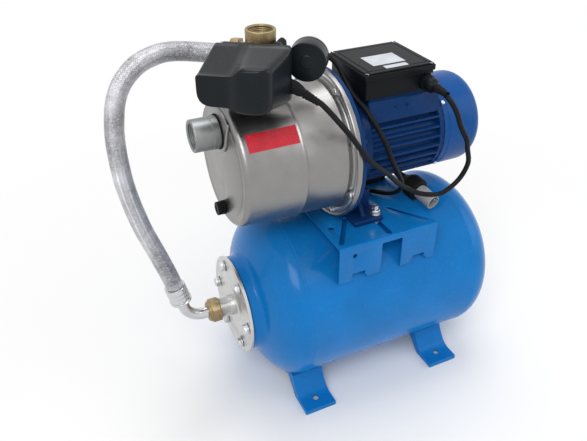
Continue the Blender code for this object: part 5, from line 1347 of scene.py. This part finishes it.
class PUMP_OT_box(bpy.types.Operator):
    """Makes the terminal box, its lid with corner screws and two bare labels"""
    bl_idname = "pump.box"
    bl_label = "Terminal box"

    def execute(self, context):
        start, length, half, over, low = BOX_X, BOX_LENGTH, BOX_HALF, 0.0031, BOX_Z
        top = low + 0.0275
        tray = brick("box_tray", (start, -half, low), (start + length, half, top), 0.0022, segments=3)
        tray_rim = brick("rim", (start - 0.0012, -half - 0.0012, top - 0.0042),
                         (start + length + 0.0012, half + 0.0012, top), 0.0006)
        weld(tray, tray_rim)
        carve(tray,
              brick("hollow", (start + 0.0025, -half + 0.0025, low + 0.0025),
                    (start + length - 0.0025, half - 0.0025, top + 0.01), 0.001))
        gland = Vector((BOX_GLAND_X, -half, BOX_GLAND_Z))
        carve(tray, cylinder("hole", 0.0083, -0.01, 0.01, gland, (0, -1, 0), 32))
        resmooth(tray)
        dress(tray, "black", ["terminal_box"])
        seat = top + TOUCH
        roof = seat + 0.01
        lid = brick("box_lid", (start - over, -half - over, seat),
                    (start + length + over, half + over, roof - 0.0022), 0.0012, segments=3)
        weld(lid,
             brick("step", (start - over + 0.0016, -half - over + 0.0016, roof - 0.004),
                   (start + length + over - 0.0016, half + over - 0.0016, roof), 0.0014, segments=3))
        groove = 0.0052
        outer = brick("groove", (start + groove, -half + groove, roof - 0.0007),
                      (start + length - groove, half - groove, roof + 0.004), 0.0006)
        carve(outer,
              brick("keep", (start + groove + 0.0016, -half + groove + 0.0016, roof - 0.004),
                    (start + length - groove - 0.0016, half - groove - 0.0016, roof + 0.006)))
        carve(lid, outer)
        carve(lid,
              brick("hollow", (start + 0.0025, -half + 0.0025, seat - 0.01),
                    (start + length - 0.0025, half - 0.0025, roof - 0.0035)))
        screws = []
        for dx in (-over + 0.0052, length + over - 0.0052):
            for side in (-1, 1):
                at = Vector((start + dx, side * (half + over - 0.0052), roof))
                carve(lid, cylinder("well", 0.0036, -0.0024, 0.002, at, UP, 24))
                head = turned("lid_screw",
                              [(-0.003, 0), (-0.003, 0.0031), (-0.0014, 0.0031), (-0.0009, 0.0022),
                               (-0.0008, 0)], at, UP, 24)
                carve(head,
                      brick("slot", at + Vector((-0.0026, -0.0004, -0.0014)),
                            at + Vector((0.0026, 0.0004, 0.001))))
                screws.append(head)
        resmooth(lid, 32)
        dress(lid, "black", ["terminal_box_lid"])
        dress(merge_pieces("lid_screws", screws), "core")
        plates = []
        for (x0, x1), (y0, y1) in (((0.0225, 0.072), (-0.0262, 0.0078)),
                                   ((0.0335, 0.068), (-0.0408, -0.0312))):
            plates.append(brick("plate", (start + x0, y0, roof - 0.0001),
                                (start + x1, y1, roof + 0.00025), 0.0001))
        dress(merge_pieces("lid_labels", plates), "paper")
        return {"FINISHED"}


class PUMP_OT_gland(bpy.types.Operator):
    """Makes the ribbed gland on the terminal box"""
    bl_idname = "pump.gland"
    bl_label = "Box gland"

    def execute(self, context):
        half, way = BOX_HALF, Vector((0, -1, 0))
        at = Vector((BOX_GLAND_X, 0, BOX_GLAND_Z))
        frame_at = framed(at + (half + TOUCH) * way, (1, 0, 0), UP)
        nut = cut_sheet("gland_nut", fluted(0.0113, 0.001, 16), 0.009, frame_at, 0.0007, 2, 35)
        dome = turned("gland_dome",
                      [(half + 0.0093, 0), (half + 0.0093, 0.0102), (half + 0.0115, 0.0104),
                       (half + 0.0175, 0.01), (half + 0.0205, 0.0088), (half + 0.0222, 0.0072),
                       (half + 0.024, 0.0062), (half + 0.026, 0.0058), (half + 0.026, 0)], at, way, 40)
        shank = turned("gland_shank",
                       [(half - 0.004, 0), (half - 0.004, 0.0079), (half + 0.0006, 0.0079),
                        (half + 0.0006, 0)], at, way, 32)
        dress(merge_pieces("gland_body", [shank, nut, dome]), "black", ["box_gland"])
        return {"FINISHED"}


class PUMP_OT_fitting(bpy.types.Operator):
    """Makes the brass five-way fitting with its outlet, hose port and two small ports"""
    bl_idname = "pump.fitting"
    bl_label = "Fitting"

    def execute(self, context):
        seat, top, body, outlet, bore = 0.1153, 0.1715, 0.0195, 0.019, 0.0152
        origin = Vector((FITTING_X, 0, PUMP_Z))
        thread = []
        for k in range(7):
            at = top - 0.0026 - k * 0.0021
            thread += [(at, bore), (at - 0.00105, bore + 0.0009)]
        profile = [(seat - 0.014, 0.0115), (seat - 0.014, 0.0155), (seat, 0.0155), (seat, body + 0.0012),
                   (seat + 0.0009, body + 0.002), (seat + 0.0078, body + 0.002),
                   (seat + 0.0088, body + 0.0008), (seat + 0.0094, body - 0.0006),
                   (top - 0.0235, body - 0.0006), (top - 0.0225, body + 0.0004),
                   (top - 0.0212, body + 0.0004), (top - 0.02, outlet - 0.0002), (top - 0.0012, outlet),
                   (top - 0.0004, outlet - 0.0003), (top, outlet - 0.001), (top, bore + 0.0014),
                   (top - 0.0016, bore)]
        profile += thread + [(top - 0.018, bore), (top - 0.02, 0.0115)]
        made = turned("fitting_body", profile, origin, UP, 72, ring=True)
        port = Vector((FITTING_X, 0, PORT_Z))
        hose = turned("hose_port",
                      [(0.0165, 0), (0.0165, 0.0172), (0.02, 0.017), (0.0212, 0.0157), (0.032, 0.0157),
                       (0.032, 0)], port, HOSE_WAY, 48)
        weld(made, hose)
        for way in (GAUGE_WAY, SWITCH_WAY):
            weld(made,
                 turned("small_port",
                        [(0.0165, 0), (0.0165, 0.0116), (0.0192, 0.0112), (0.0203, 0.01), (0.0219, 0.01),
                         (0.0225, 0.0094), (0.0225, 0)], port, way, 36))
        carve(made, cylinder("bore", 0.0105, 0.004, 0.05, port, HOSE_WAY, 32))
        resmooth(made, 33)
        dress(made, "brass", ["five_way_fitting"])
        return {"FINISHED"}


# The dial's zero and the way from one figure to the next, in degrees
ZERO_MARK = 225
MARK_STEP = 54


def dial_text(word, size, at, frame_at):
    """Plain figures on the dial, as a mesh."""
    deselect()
    bpy.ops.object.text_add(location=(0, 0, 0))
    text = bpy.context.object
    text.data.body = word
    text.data.size = size
    text.data.align_x = "CENTER"
    text.data.align_y = "CENTER"
    text.data.extrude = 0.00005
    text.data.resolution_u = 2
    bpy.ops.object.convert(target="MESH")
    mesh = bpy.context.object
    return settle(mesh, frame_at @ Matrix.Translation((at[0], at[1], 0)))


class PUMP_OT_gauge(bpy.types.Operator):
    """Makes the pressure gauge: drum case, dial with plain figures, pointer and window"""
    bl_idname = "pump.gauge"
    bl_label = "Gauge"

    def execute(self, context):
        radius, depth, wall = 0.0245, 0.026, 0.0025
        half, inside = depth / 2, radius - wall
        normal = -SWITCH_WAY
        profile = [(-half, 0), (-half, 0.008), (-half + 0.0006, 0.0088), (-half + 0.0002, radius - 0.0022)]
        profile += arc((-half + 0.0014, radius - 0.0014), 0.0014, 180, 90, 4)
        profile += [(half - 0.006, radius - 0.0002), (half - 0.0056, radius - 0.0009),
                    (half - 0.005, radius - 0.0009), (half - 0.0046, radius)]
        profile += arc((half - 0.0012, radius - 0.0012), 0.0012, 80, 0, 4)
        profile += [(half - 0.0004, inside + 0.0002), (half - 0.0022, inside), (-half + 0.004, inside),
                    (-half + 0.004, 0)]
        case = turned("gauge_drum", profile, GAUGE_MIDDLE, normal, 72)
        resmooth(case, 33)
        stem_at = FITTING + 0.0228 * GAUGE_WAY
        stem = [turned("gauge_stem",
                       [(0, 0), (0, 0.0055), (0.0006, 0.0062), (0.0016, 0.0062), (0.002, 0.0056),
                        (0.013, 0.0056), (0.013, 0)], stem_at, GAUGE_WAY, 32),
                hex_head("gauge_flats", 0.0135, 0.0026, 0.0094, stem_at, GAUGE_WAY, 0.2)]
        dress(case, "hood", ["gauge_case"])
        dress(merge_pieces("gauge_stem", stem), "brass")
        face = half - 0.0075
        frame_at = framed(GAUGE_MIDDLE, UP.cross(normal), UP)
        dial = turned("gauge_dial_plate",
                      [(face, 0.0017), (face, inside - 0.0003), (face + 0.0008, inside - 0.0003),
                       (face + 0.001, inside - 0.0006), (face + 0.001, 0.0017)], GAUGE_MIDDLE, normal, 56,
                      ring=True)
        dress(dial, "dial", ["gauge_dial"])
        marks = []
        plate = frame_at @ Matrix.Translation((0, 0, face + 0.00102))
        for k in range(51):
            turn = plate @ Matrix.Rotation(radians(ZERO_MARK - MARK_STEP / 10 * k), 4, "Z")
            long = 0.0036 if k % 10 == 0 else 0.0018
            thick = 0.0003 if k % 10 == 0 else 0.00015
            marks.append(brick("mark", (inside - 0.0016 - long, -thick, 0), (inside - 0.0016, thick, 0.0001),
                               0.0, turn))
        for k in range(6):
            a = radians(ZERO_MARK - MARK_STEP * k)
            marks.append(dial_text(str(2 * k), 0.004, (0.0128 * cos(a), 0.0128 * sin(a)), plate))
        marks.append(dial_text("bar", 0.003, (0, -0.0085), plate))
        dress(merge_pieces("dial_marks", marks), "ink")
        first, last = ZERO_MARK - 3 * MARK_STEP, ZERO_MARK - 4.5 * MARK_STEP
        band = arc((0, 0), inside - 0.0006, first, last, 16) + arc((0, 0), inside - 0.0014, last, first, 16)
        dress(cut_sheet("dial_band", band, 0.0001, plate), "pointer")
        hub = turned("pointer_hub",
                     [(face - 0.003, 0), (face - 0.003, 0.0012), (face + 0.0018, 0.0012),
                      (face + 0.0018, 0.0026), (face + 0.003, 0.0026), (face + 0.0034, 0.002),
                      (face + 0.0034, 0)], GAUGE_MIDDLE, normal, 28)
        tip = inside - 0.004
        needle_frame = frame_at @ Matrix.Rotation(radians(135), 4, "Z")
        needle_frame = needle_frame @ Matrix.Translation((0, 0, face + 0.0022))
        needle = cut_sheet("needle",
                           [(-0.0016, -0.007), (0.0016, -0.007), (0.001, 0), (0.0003, tip), (-0.0003, tip),
                            (-0.001, 0)], 0.0006, needle_frame, 0.0001, 1)
        dress(merge_pieces("pointer", [hub, needle]), "ink", ["gauge_pointer"], body="needle")
        lens = turned("gauge_window",
                      [(half - 0.0021, 0), (half - 0.0021, inside - 0.0002), (half - 0.0008, inside - 0.0002),
                       (half - 0.0005, inside - 0.0008), (half - 0.0004, 0)], GAUGE_MIDDLE, normal, 56)
        dress(lens, "glass", ["gauge_lens"])
        return {"FINISHED"}


def bridged(name, loops, matrix, edge=0.0, segments=3, angle=24, smooth=32):
    """A hollow or solid body through loops of as many points each; the first and last are filled."""
    rings = []
    for k, loop in enumerate(loops):
        deselect()
        bpy.ops.mesh.primitive_circle_add(vertices=len(loop), radius=0.01)
        ring = bpy.context.object
        for vertex, at in zip(ring.data.vertices, loop):
            vertex.co = at
        ring.name = f"{name}_{k}"
        bpy.ops.object.mode_set(mode="EDIT")
        bpy.ops.mesh.select_all(action="SELECT")
        if k in (0, len(loops) - 1):
            bpy.ops.mesh.edge_face_add()
        bpy.ops.object.mode_set(mode="OBJECT")
        rings.append(ring)
    made = merge_pieces(name, rings)
    count = len(loops[0])
    for k in range(len(loops) - 1):
        pick(made)
        bpy.ops.object.mode_set(mode="EDIT")
        bpy.ops.mesh.select_mode(type="EDGE")
        bpy.ops.mesh.select_all(action="DESELECT")
        bpy.ops.object.mode_set(mode="OBJECT")
        span = range(k * count, (k + 2) * count)
        for edge_line in made.data.edges:
            a, b = edge_line.vertices
            edge_line.select = a in span and b in span and a // count == b // count
        bpy.ops.object.mode_set(mode="EDIT")
        bpy.ops.mesh.bridge_edge_loops()
        bpy.ops.object.mode_set(mode="OBJECT")
    bpy.ops.object.mode_set(mode="EDIT")
    bpy.ops.mesh.select_all(action="SELECT")
    bpy.ops.mesh.normals_make_consistent(inside=False)
    bpy.ops.object.mode_set(mode="OBJECT")
    settle(made, matrix)
    ease(made, edge, segments, angle)
    return resmooth(made, smooth)


def shrunk(loop, by, depth):
    """A loop pulled in towards its middle by a distance, at a depth."""
    return [(u * (1 - by / sqrt(u * u + v * v)), v * (1 - by / sqrt(u * u + v * v)), depth) for u, v in loop]


def eased(loop, by, side, depth):
    """A shrunk loop whose right-hand side is pulled in further."""
    return [(u - side * min(1.0, max(0.0, (u - 0.01) / 0.026)), v, depth)
            for u, v, depth in shrunk(loop, by, depth)]


def rounded(points, radii, fine=5):
    """An outline whose corners are rounded, each with its own radius."""
    outline = []
    count = len(points)
    for k, (point, radius) in enumerate(zip(points, radii)):
        here = Vector(point)
        before, after = (Vector(points[k - 1]) - here), (Vector(points[(k + 1) % count]) - here)
        reach = min(radius, 0.48 * before.length, 0.48 * after.length)
        start, end = here + before.normalized() * reach, here + after.normalized() * reach
        for n in range(fine + 1):
            t = n / fine
            spot = start * (1 - t) ** 2 + here * 2 * t * (1 - t) + end * t * t
            outline.append((spot.x, spot.y))
    return outline


class PUMP_OT_switch(bpy.types.Operator):
    """Makes the pressure switch: base with glands and nut, and its black stepped cover"""
    bl_idname = "pump.switch"
    bl_label = "Pressure switch"

    def execute(self, context):
        frame_at = switch_frame()
        back, deep = SWITCH_BACK, 0.0447
        base = brick("switch_plate", (-0.039, -0.031, back), (0.044, 0.031, deep - 0.0025),
                     0.003, frame_at, 3)
        weld(base, brick("step", (-0.0375, -0.0295, deep - 0.004), (0.0425, 0.0295, deep), 0.0008, frame_at))
        weld(base,
             turned("boss",
                    [(back - 0.0035, 0), (back - 0.0035, 0.015), (back + 0.001, 0.016), (back + 0.001, 0)],
                    FITTING, SWITCH_WAY, 40))
        parts = [base]
        side, way = side_gland_place()
        parts.append(turned("side_root", [(-0.004, 0), (-0.004, 0.0074), (0.0016, 0.0074), (0.0016, 0)], side,
                            way, 32))
        parts.append(cut_sheet("side_nut", fluted(0.008, 0.0008, 12), 0.008,
                               framed(side + 0.0016 * way, way.cross(SWITCH_WAY), -SWITCH_WAY),
                               0.0005, 2, 35))
        parts.append(turned("side_dome",
                            [(0.0096, 0), (0.0096, 0.0074), (0.013, 0.0072), (0.016, 0.0064),
                             (0.0195, 0.0052), (0.0195, 0)], side, way, 32))
        rear = frame_at @ Vector((*REAR_GLAND, back + 0.001))
        parts.append(turned("rear_root", [(-0.002, 0), (-0.002, 0.0074), (0.0012, 0.0074), (0.0012, 0)], rear,
                            -SWITCH_WAY, 32))
        parts.append(cut_sheet("rear_nut", fluted(0.008, 0.0008, 12), 0.0064,
                               framed(rear - 0.0012 * SWITCH_WAY, GAUGE_WAY, -UP), 0.0005, 2, 35))
        parts.append(turned("rear_dome",
                            [(0.0076, 0), (0.0076, 0.0074), (0.0105, 0.007), (0.0145, 0.0054), (0.0145, 0)],
                            rear, -SWITCH_WAY, 32))
        stud = frame_at @ Vector((-0.006, 0, deep))
        parts.append(cylinder("stud", 0.0022, -0.001, 0.05, stud, SWITCH_WAY, 16))
        parts.append(hex_head("stud_nut", 0.013, 0.0406, 0.046, stud, SWITCH_WAY))
        dress(merge_pieces("switch_base_body", parts), "black", ["switch_base"])
        nut = hex_head("switch_nut", 0.0218, 0.0228, 0.0275, FITTING, SWITCH_WAY)
        dress(nut, "zinc")
        front_corners = [(-0.05, 0.0165), (-0.01, 0.0165), (0.001, 0.0285), (0.0365, 0.0285),
                         (0.0365, -0.0255), (0.000, -0.0255), (-0.013, -0.02), (-0.05, -0.02)]
        front_radii = [0.004, 0.008, 0.009, 0.008, 0.013, 0.016, 0.016, 0.017]
        back_corners = [(-0.0445, 0.0335), (-0.012, 0.0335), (0.002, 0.0335), (0.047, 0.0335),
                        (0.047, -0.0335), (0.003, -0.0335), (-0.011, -0.0335), (-0.0445, -0.0335)]
        back_radii = [0.004, 0.004, 0.004, 0.006, 0.008, 0.004, 0.004, 0.01]
        front_line, back_line = rounded(front_corners, front_radii), rounded(back_corners, back_radii)
        seat, front, wall = deep + TOUCH, deep + 0.0675, 0.002
        skirt = 0.01
        mid = [tuple(Vector(b).lerp(Vector(f), 0.12)) for f, b in zip(front_line, back_line)]
        loops = [shrunk(back_line, 0.0004, seat), shrunk(back_line, 0, seat + 0.0006),
                 shrunk(mid, 0, seat + skirt), shrunk(front_line, 0, front - 0.015),
                 eased(front_line, 0, 0.0008, front - 0.0105), eased(front_line, 0, 0.003, front - 0.006),
                 eased(front_line, 0.0004, 0.005, front - 0.0038),
                 eased(front_line, 0.0014, 0.0078, front - 0.0018),
                 eased(front_line, 0.003, 0.01, front - 0.0006), eased(front_line, 0.0052, 0.012, front)]
        cover = bridged("switch_hood", loops, frame_at, smooth=50)
        inside = bridged("inside",
                         [shrunk(back_line, wall, seat - 0.002),
                          shrunk(front_line, wall + 0.001, front - 0.015),
                          eased(front_line, wall + 0.001, 0.0078, front - wall)], frame_at)
        step = [(-0.07, 0.0), (-0.07, 0.02), (0.004, 0.02), (0.004, 0.0068), (-0.0005, 0.0062),
                (-0.011, 0.0012), (-0.015, 0.0)]
        sideways = frame_at @ Matrix.Translation((0, 0.045, 0)) @ Matrix.Rotation(radians(90), 4, "X")
        for body, drop in ((cover, 0.0062), (inside, 0.0062 + wall)):
            carve(body, cut_sheet("left_step", [(u, front - drop + w) for u, w in step], 0.09, sideways))
        carve(cover, inside)
        resmooth(cover, 40)
        dress(cover, "hood", ["switch_cover"])
        return {"FINISHED"}


class PUMP_OT_hose_ends(bpy.types.Operator):
    """Makes the hose's crimped ferrules, the brass nuts and the chromed elbow"""
    bl_idname = "pump.hose_ends"
    bl_label = "Hose ends"

    def execute(self, context):
        nut = hex_head("top_nut", 0.039, 0.0262, 0.0378, FITTING, HOSE_WAY, 0.15)
        carve(nut, cylinder("bore", 0.0164, 0.02, 0.05, FITTING, HOSE_WAY, 40))
        dress(resmooth(nut), "brass")
        shell = turned("top_ferrule",
                       [(0.0327, 0), (0.0327, 0.0158), (0.0262, 0.0158), (0.0262, 0.0172), (0.0388, 0.0172),
                        (0.0394, 0.013), (0.0404, 0.0128), (0.0408, 0.0146), (0.0416, 0.0152),
                        (0.0436, 0.0152), (0.044, 0.0146), (0.045, 0.0145), (0.0454, 0.0152),
                        (0.0474, 0.0152), (0.0478, 0.0146), (0.0488, 0.0145), (0.0494, 0.015),
                        (0.051, 0.0148), (HOSE_START, 0.0143), (HOSE_START, 0)], FITTING, HOSE_WAY, 56)
        dress(resmooth(shell, 40), "ferrule", ["hose_top_fitting"])
        line = elbow_line()
        tube = tube_along("elbow_tube", smooth_line(line[::-1], 60)[0], 0.0085, 32)
        tip = line[0]
        way = (line[0] - line[1]).normalized()
        crimp = [(-0.011, 0), (-0.011, 0.0098), (-0.0102, 0.0135), (-0.0088, 0.016), (-0.0064, 0.0162),
                 (-0.0054, 0.014), (-0.0044, 0.0138), (-0.0036, 0.015)]
        for at in (-0.003, 0.004, 0.011):
            crimp += [(at, 0.0152), (at + 0.0042, 0.0152), (at + 0.005, 0.0148), (at + 0.0062, 0.0148)]
        crimp = [p for p in crimp if p[0] < 0.0186] + [(0.0192, 0.015), (0.02, 0.0144), (0.02, 0)]
        ferrule = turned("elbow_ferrule", crimp, tip, way, 56)
        stub_end = -STUB_END_X
        flare = turned("flare",
                       [(stub_end + TOUCH, 0), (stub_end + TOUCH, 0.0147),
                        (stub_end + TOUCH + 0.0018, 0.0147), (stub_end + 0.004, 0.0096),
                        (stub_end + 0.004, 0)], (0, 0, TANK_Z), AHEAD, 40)
        dress(merge_pieces("elbow_and_ferrule", [tube, resmooth(ferrule, 40), flare]), "chrome",
              ["hose_elbow"])
        start, end = stub_end - 0.0085, stub_end + 0.009
        big = hex_head("union_nut", 0.033, start, end - 0.003, (0, 0, TANK_Z), AHEAD, 0.0)
        weld(big,
             turned("nut_nose",
                    [(end - 0.0045, 0), (end - 0.0045, 0.0158), (end - 0.0012, 0.0152), (end, 0.0136),
                     (end, 0)], (0, 0, TANK_Z), AHEAD, 48))
        weld(big,
             turned("nut_skirt",
                    [(start, 0), (start, 0.0176), (start + 0.002, 0.0179), (start + 0.003, 0.0176),
                     (start + 0.003, 0)], (0, 0, TANK_Z), AHEAD, 48))
        carve(big, cylinder("thread", 0.0158, start - 0.01, stub_end + 0.0028, (0, 0, TANK_Z), AHEAD, 40),
              cylinder("hole", 0.0088, stub_end - 0.01, end + 0.01, (0, 0, TANK_Z), AHEAD, 32))
        dress(resmooth(big), "brass", ["hose_nut"])
        return {"FINISHED"}


class PUMP_OT_valve(bpy.types.Operator):
    """Makes the air valve in the tank's far end with its fluted cap"""
    bl_idname = "pump.valve"
    bl_label = "Air valve"

    def execute(self, context):
        origin = Vector((TANK_X + TANK_BARREL / 2 + HEAD_DEPTH, 0, TANK_Z))
        stem = [(-0.008, 0.0022), (-0.008, 0.0062), (0.0004, 0.0062), (0.0004, 0.0086), (0.0008, 0.009),
                (0.0022, 0.009), (0.0026, 0.0086), (0.0026, 0.006)]
        for k in range(5):
            stem += [(0.0036 + k * 0.0011, 0.0062), (0.0036 + k * 0.0011 + 0.0005, 0.0057)]
        stem += [(0.0095, 0.006), (0.0095, 0.0022)]
        dress(turned("valve_stem", stem, origin, BACK, 40, ring=True), "brass", ["air_valve_stem"])
        cap = cut_sheet("valve_cap_side", fluted(0.0115, 0.0007, 18), 0.0086,
                        framed(origin + 0.0031 * BACK, (0, 1, 0), UP), 0.0006, 2, 35)
        weld(cap,
             turned("valve_cap_top",
                    [(0.011, 0), (0.011, 0.0104), (0.0132, 0.0098), (0.014, 0.008), (0.014, 0)],
                    origin, BACK, 40))
        carve(cap, cylinder("inside", 0.0066, 0.0, 0.0105, origin, BACK, 32))
        dress(resmooth(cap, 35), "black", ["air_valve_cap"], body="valve_cap")
        return {"FINISHED"}


def plug_place():
    """The plug's pin end and the way to its tail, as it lies on the tank with its head."""
    tilt, turn = radians(10), radians(10)
    slope = Vector((-sin(turn) * cos(tilt), cos(turn) * cos(tilt), sin(tilt)))
    lean = atan2(slope.z, slope.y)
    touch = Vector((0.0975, 0, TANK_Z)) + (TANK_RADIUS + TOUCH + 0.0175) * Vector((0, -sin(lean), cos(lean)))
    return touch - 0.042 * slope, slope


class PUMP_OT_plug(bpy.types.Operator):
    """Makes the mains plug: rubber grip with ribs, and the pale guard over its pins"""
    bl_idname = "pump.plug"
    bl_label = "Plug"

    def execute(self, context):
        tip, slope = plug_place()
        grip = [(0.03, 0), (0.03, 0.0112), (0.0308, 0.015), (0.0318, 0.0166), (0.033, 0.0174),
                (0.035, 0.0175), (0.0355, 0.017), (0.0362, 0.017), (0.0367, 0.0175), (0.047, 0.0175),
                (0.05, 0.0171), (0.0525, 0.016), (0.056, 0.0134), (0.06, 0.0102), (0.064, 0.0078)]
        for k in range(6):
            at = 0.065 + k * 0.0036
            radius = 0.0071 - k * 0.00042
            grip += [(at, radius), (at + 0.0006, radius - 0.0009), (at + 0.0018, radius - 0.0009),
                     (at + 0.0024, radius - 0.0002)]
        grip += [(PLUG_LENGTH - 0.0004, 0.0045), (PLUG_LENGTH, 0.004), (PLUG_LENGTH, 0)]
        body = turned("plug_grip", grip, tip, slope, 48)
        dress(body, "rubber", ["plug"])
        guard = turned("plug_guard",
                       [(0, 0.0097), (0, 0.0109), (0.0006, 0.0114), (0.006, 0.0114), (0.0062, 0.0111),
                        (0.0068, 0.0111), (0.007, 0.0114), (0.029, 0.0114), (0.0298, 0.011), (0.0298, 0),
                        (0.024, 0), (0.024, 0.0099)], tip, slope, 48)
        across = slope.cross(UP).normalized()
        pins = [cylinder("pin", 0.0023, 0.003, 0.0262, tip + side * 0.0062 * across, slope, 20, 0.0008)
                for side in (-1, 1)]
        dress(resmooth(guard), "guard", ["plug"])
        dress(merge_pieces("plug_pins", pins), "chrome")
        return {"FINISHED"}


class PUMP_OT_hose(bpy.types.Operator):
    """Lays the braided hose from the fitting to the tank"""
    bl_idname = "pump.hose"
    bl_label = "Hose"

    def execute(self, context):
        line, length = smooth_line(hose_route(), 260)
        across = sizes().hose_diameter
        count = len(line)
        wide = [across / 2 * (1.0 - 0.05 * max(0.0, 1 - min(k, count - 1 - k) / 6)) for k in range(count)]
        hose = tube_along("braided_hose", line, across / 2, 40, wide)
        dress(hose, "braid", ["hose"])
        return {"FINISHED"}


def boot(name, at, way, length, wide=0.0058, thin=0.004, rings=4):
    """A tapered rubber strain relief with shallow grooves."""
    profile = [(0, 0.0037), (0, wide)]
    for k in range(rings):
        start = length * (0.12 + 0.8 * k / rings)
        radius = wide + (thin - wide) * start / length
        profile += [(start, radius), (start + 0.0006, radius - 0.0006), (start + 0.0014, radius - 0.0006),
                    (start + 0.002, radius - 0.0001)]
    profile += [(length - 0.0006, thin), (length, 0.0038)]
    return turned(name, profile, at, way, 28, ring=True)


class PUMP_OT_leads(bpy.types.Operator):
    """Lays the two leads with their boots, and the coil with its tie, out to the plug"""
    bl_idname = "pump.leads"
    bl_label = "Leads"

    def execute(self, context):
        thick = sizes().lead_diameter
        line, length = smooth_line(motor_lead_route(), 240)
        motor = tube_along("motor_lead_cable", line, thick / 2, 20)
        dress(motor, "lead", ["motor_lead"])
        boots = [boot("boot_side", line[0], line[3] - line[0], 0.022),
                 boot("boot_box", line[-1], line[-4] - line[-1], 0.022)]
        tip, slope = plug_place()
        tail = tip + slope * (PLUG_LENGTH + 0.0004)
        last = [(0.0716, 0.1011, 0.3004), (0.0813, 0.095, 0.3003), (0.0915, 0.0842, 0.3024),
                (0.096, 0.0708, 0.3063), (0.0946, 0.0577, 0.3103), (0.0886, 0.0421, 0.311),
                tail + 0.012 * slope, tail + 0.006 * slope, tail]
        line, length = smooth_line(mains_lead_route() + coil_route()[1:] + last, 520)
        mains = tube_along("mains_lead_cable", line, thick / 2, 20)
        dress(mains, "lead", ["mains_lead", "mains_coil"])
        boots.append(boot("boot_rear", line[0], line[3] - line[0], 0.02))
        dress(merge_pieces("lead_boots", boots), "rubber")
        tie_at = COIL + Vector((0.035 * cos(radians(-60)), 0.035 * sin(radians(-60)), 0.0072))
        around_way = Vector((-sin(radians(-60)), cos(radians(-60)), 0))
        tie = cut_sheet("coil_tie",
                        rounded([(-0.0076, -0.0074), (0.0076, -0.0074), (0.0076, 0.0076), (-0.0076, 0.0076)],
                                [0.0035] * 4), 0.0036,
                        framed(tie_at - 0.0018 * around_way, around_way.cross(UP), UP))
        carve(tie,
              cut_sheet("inside",
                        rounded([(-0.0069, -0.0068), (0.0069, -0.0068), (0.0069, 0.0069), (-0.0069, 0.0069)],
                                [0.0032] * 4), 0.01,
                        framed(tie_at - 0.005 * around_way, around_way.cross(UP), UP)))
        dress(tie, "black")
        return {"FINISHED"}


class PUMP_PT_panel(bpy.types.Panel):
    """Lists the pump's pieces and its sizes and colours"""
    bl_label = "Pump"
    bl_idname = "PUMP_PT_panel"
    bl_space_type = "VIEW_3D"
    bl_region_type = "UI"
    bl_category = "Pump"

    def draw(self, context):
        for group in (context.scene.pump_sizes, context.scene.pump_colours):
            for name in group.__annotations__:
                self.layout.prop(group, name)
        for piece in PIECES:
            self.layout.operator(piece.bl_idname)


PIECES = (PUMP_OT_stage, PUMP_OT_finishes, PUMP_OT_tank, PUMP_OT_flange, PUMP_OT_feet, PUMP_OT_bench,
          PUMP_OT_casing, PUMP_OT_casing_screws, PUMP_OT_inlet, PUMP_OT_drain, PUMP_OT_motor_front,
          PUMP_OT_foot_bolts, PUMP_OT_housing, PUMP_OT_cowl, PUMP_OT_box, PUMP_OT_gland, PUMP_OT_fitting,
          PUMP_OT_gauge, PUMP_OT_switch, PUMP_OT_hose_ends, PUMP_OT_valve, PUMP_OT_plug, PUMP_OT_hose,
          PUMP_OT_leads)
CLASSES = (PumpSizes, PumpColours) + PIECES + (PUMP_PT_panel,)


def register():
    """Makes the classes known to Blender."""
    for kind in CLASSES:
        bpy.utils.register_class(kind)
    bpy.types.Scene.pump_sizes = PointerProperty(type=PumpSizes)
    bpy.types.Scene.pump_colours = PointerProperty(type=PumpColours)


def unregister():
    """Takes the classes away again."""
    del bpy.types.Scene.pump_sizes
    del bpy.types.Scene.pump_colours
    for kind in reversed(CLASSES):
        bpy.utils.unregister_class(kind)


def main():
    """Makes the whole set."""
    register()
    for piece in PIECES:
        group, name = piece.bl_idname.split(".")
        deselect()
        getattr(getattr(bpy.ops, group), name)()
    deselect()


if __name__ == "__main__":
    main()
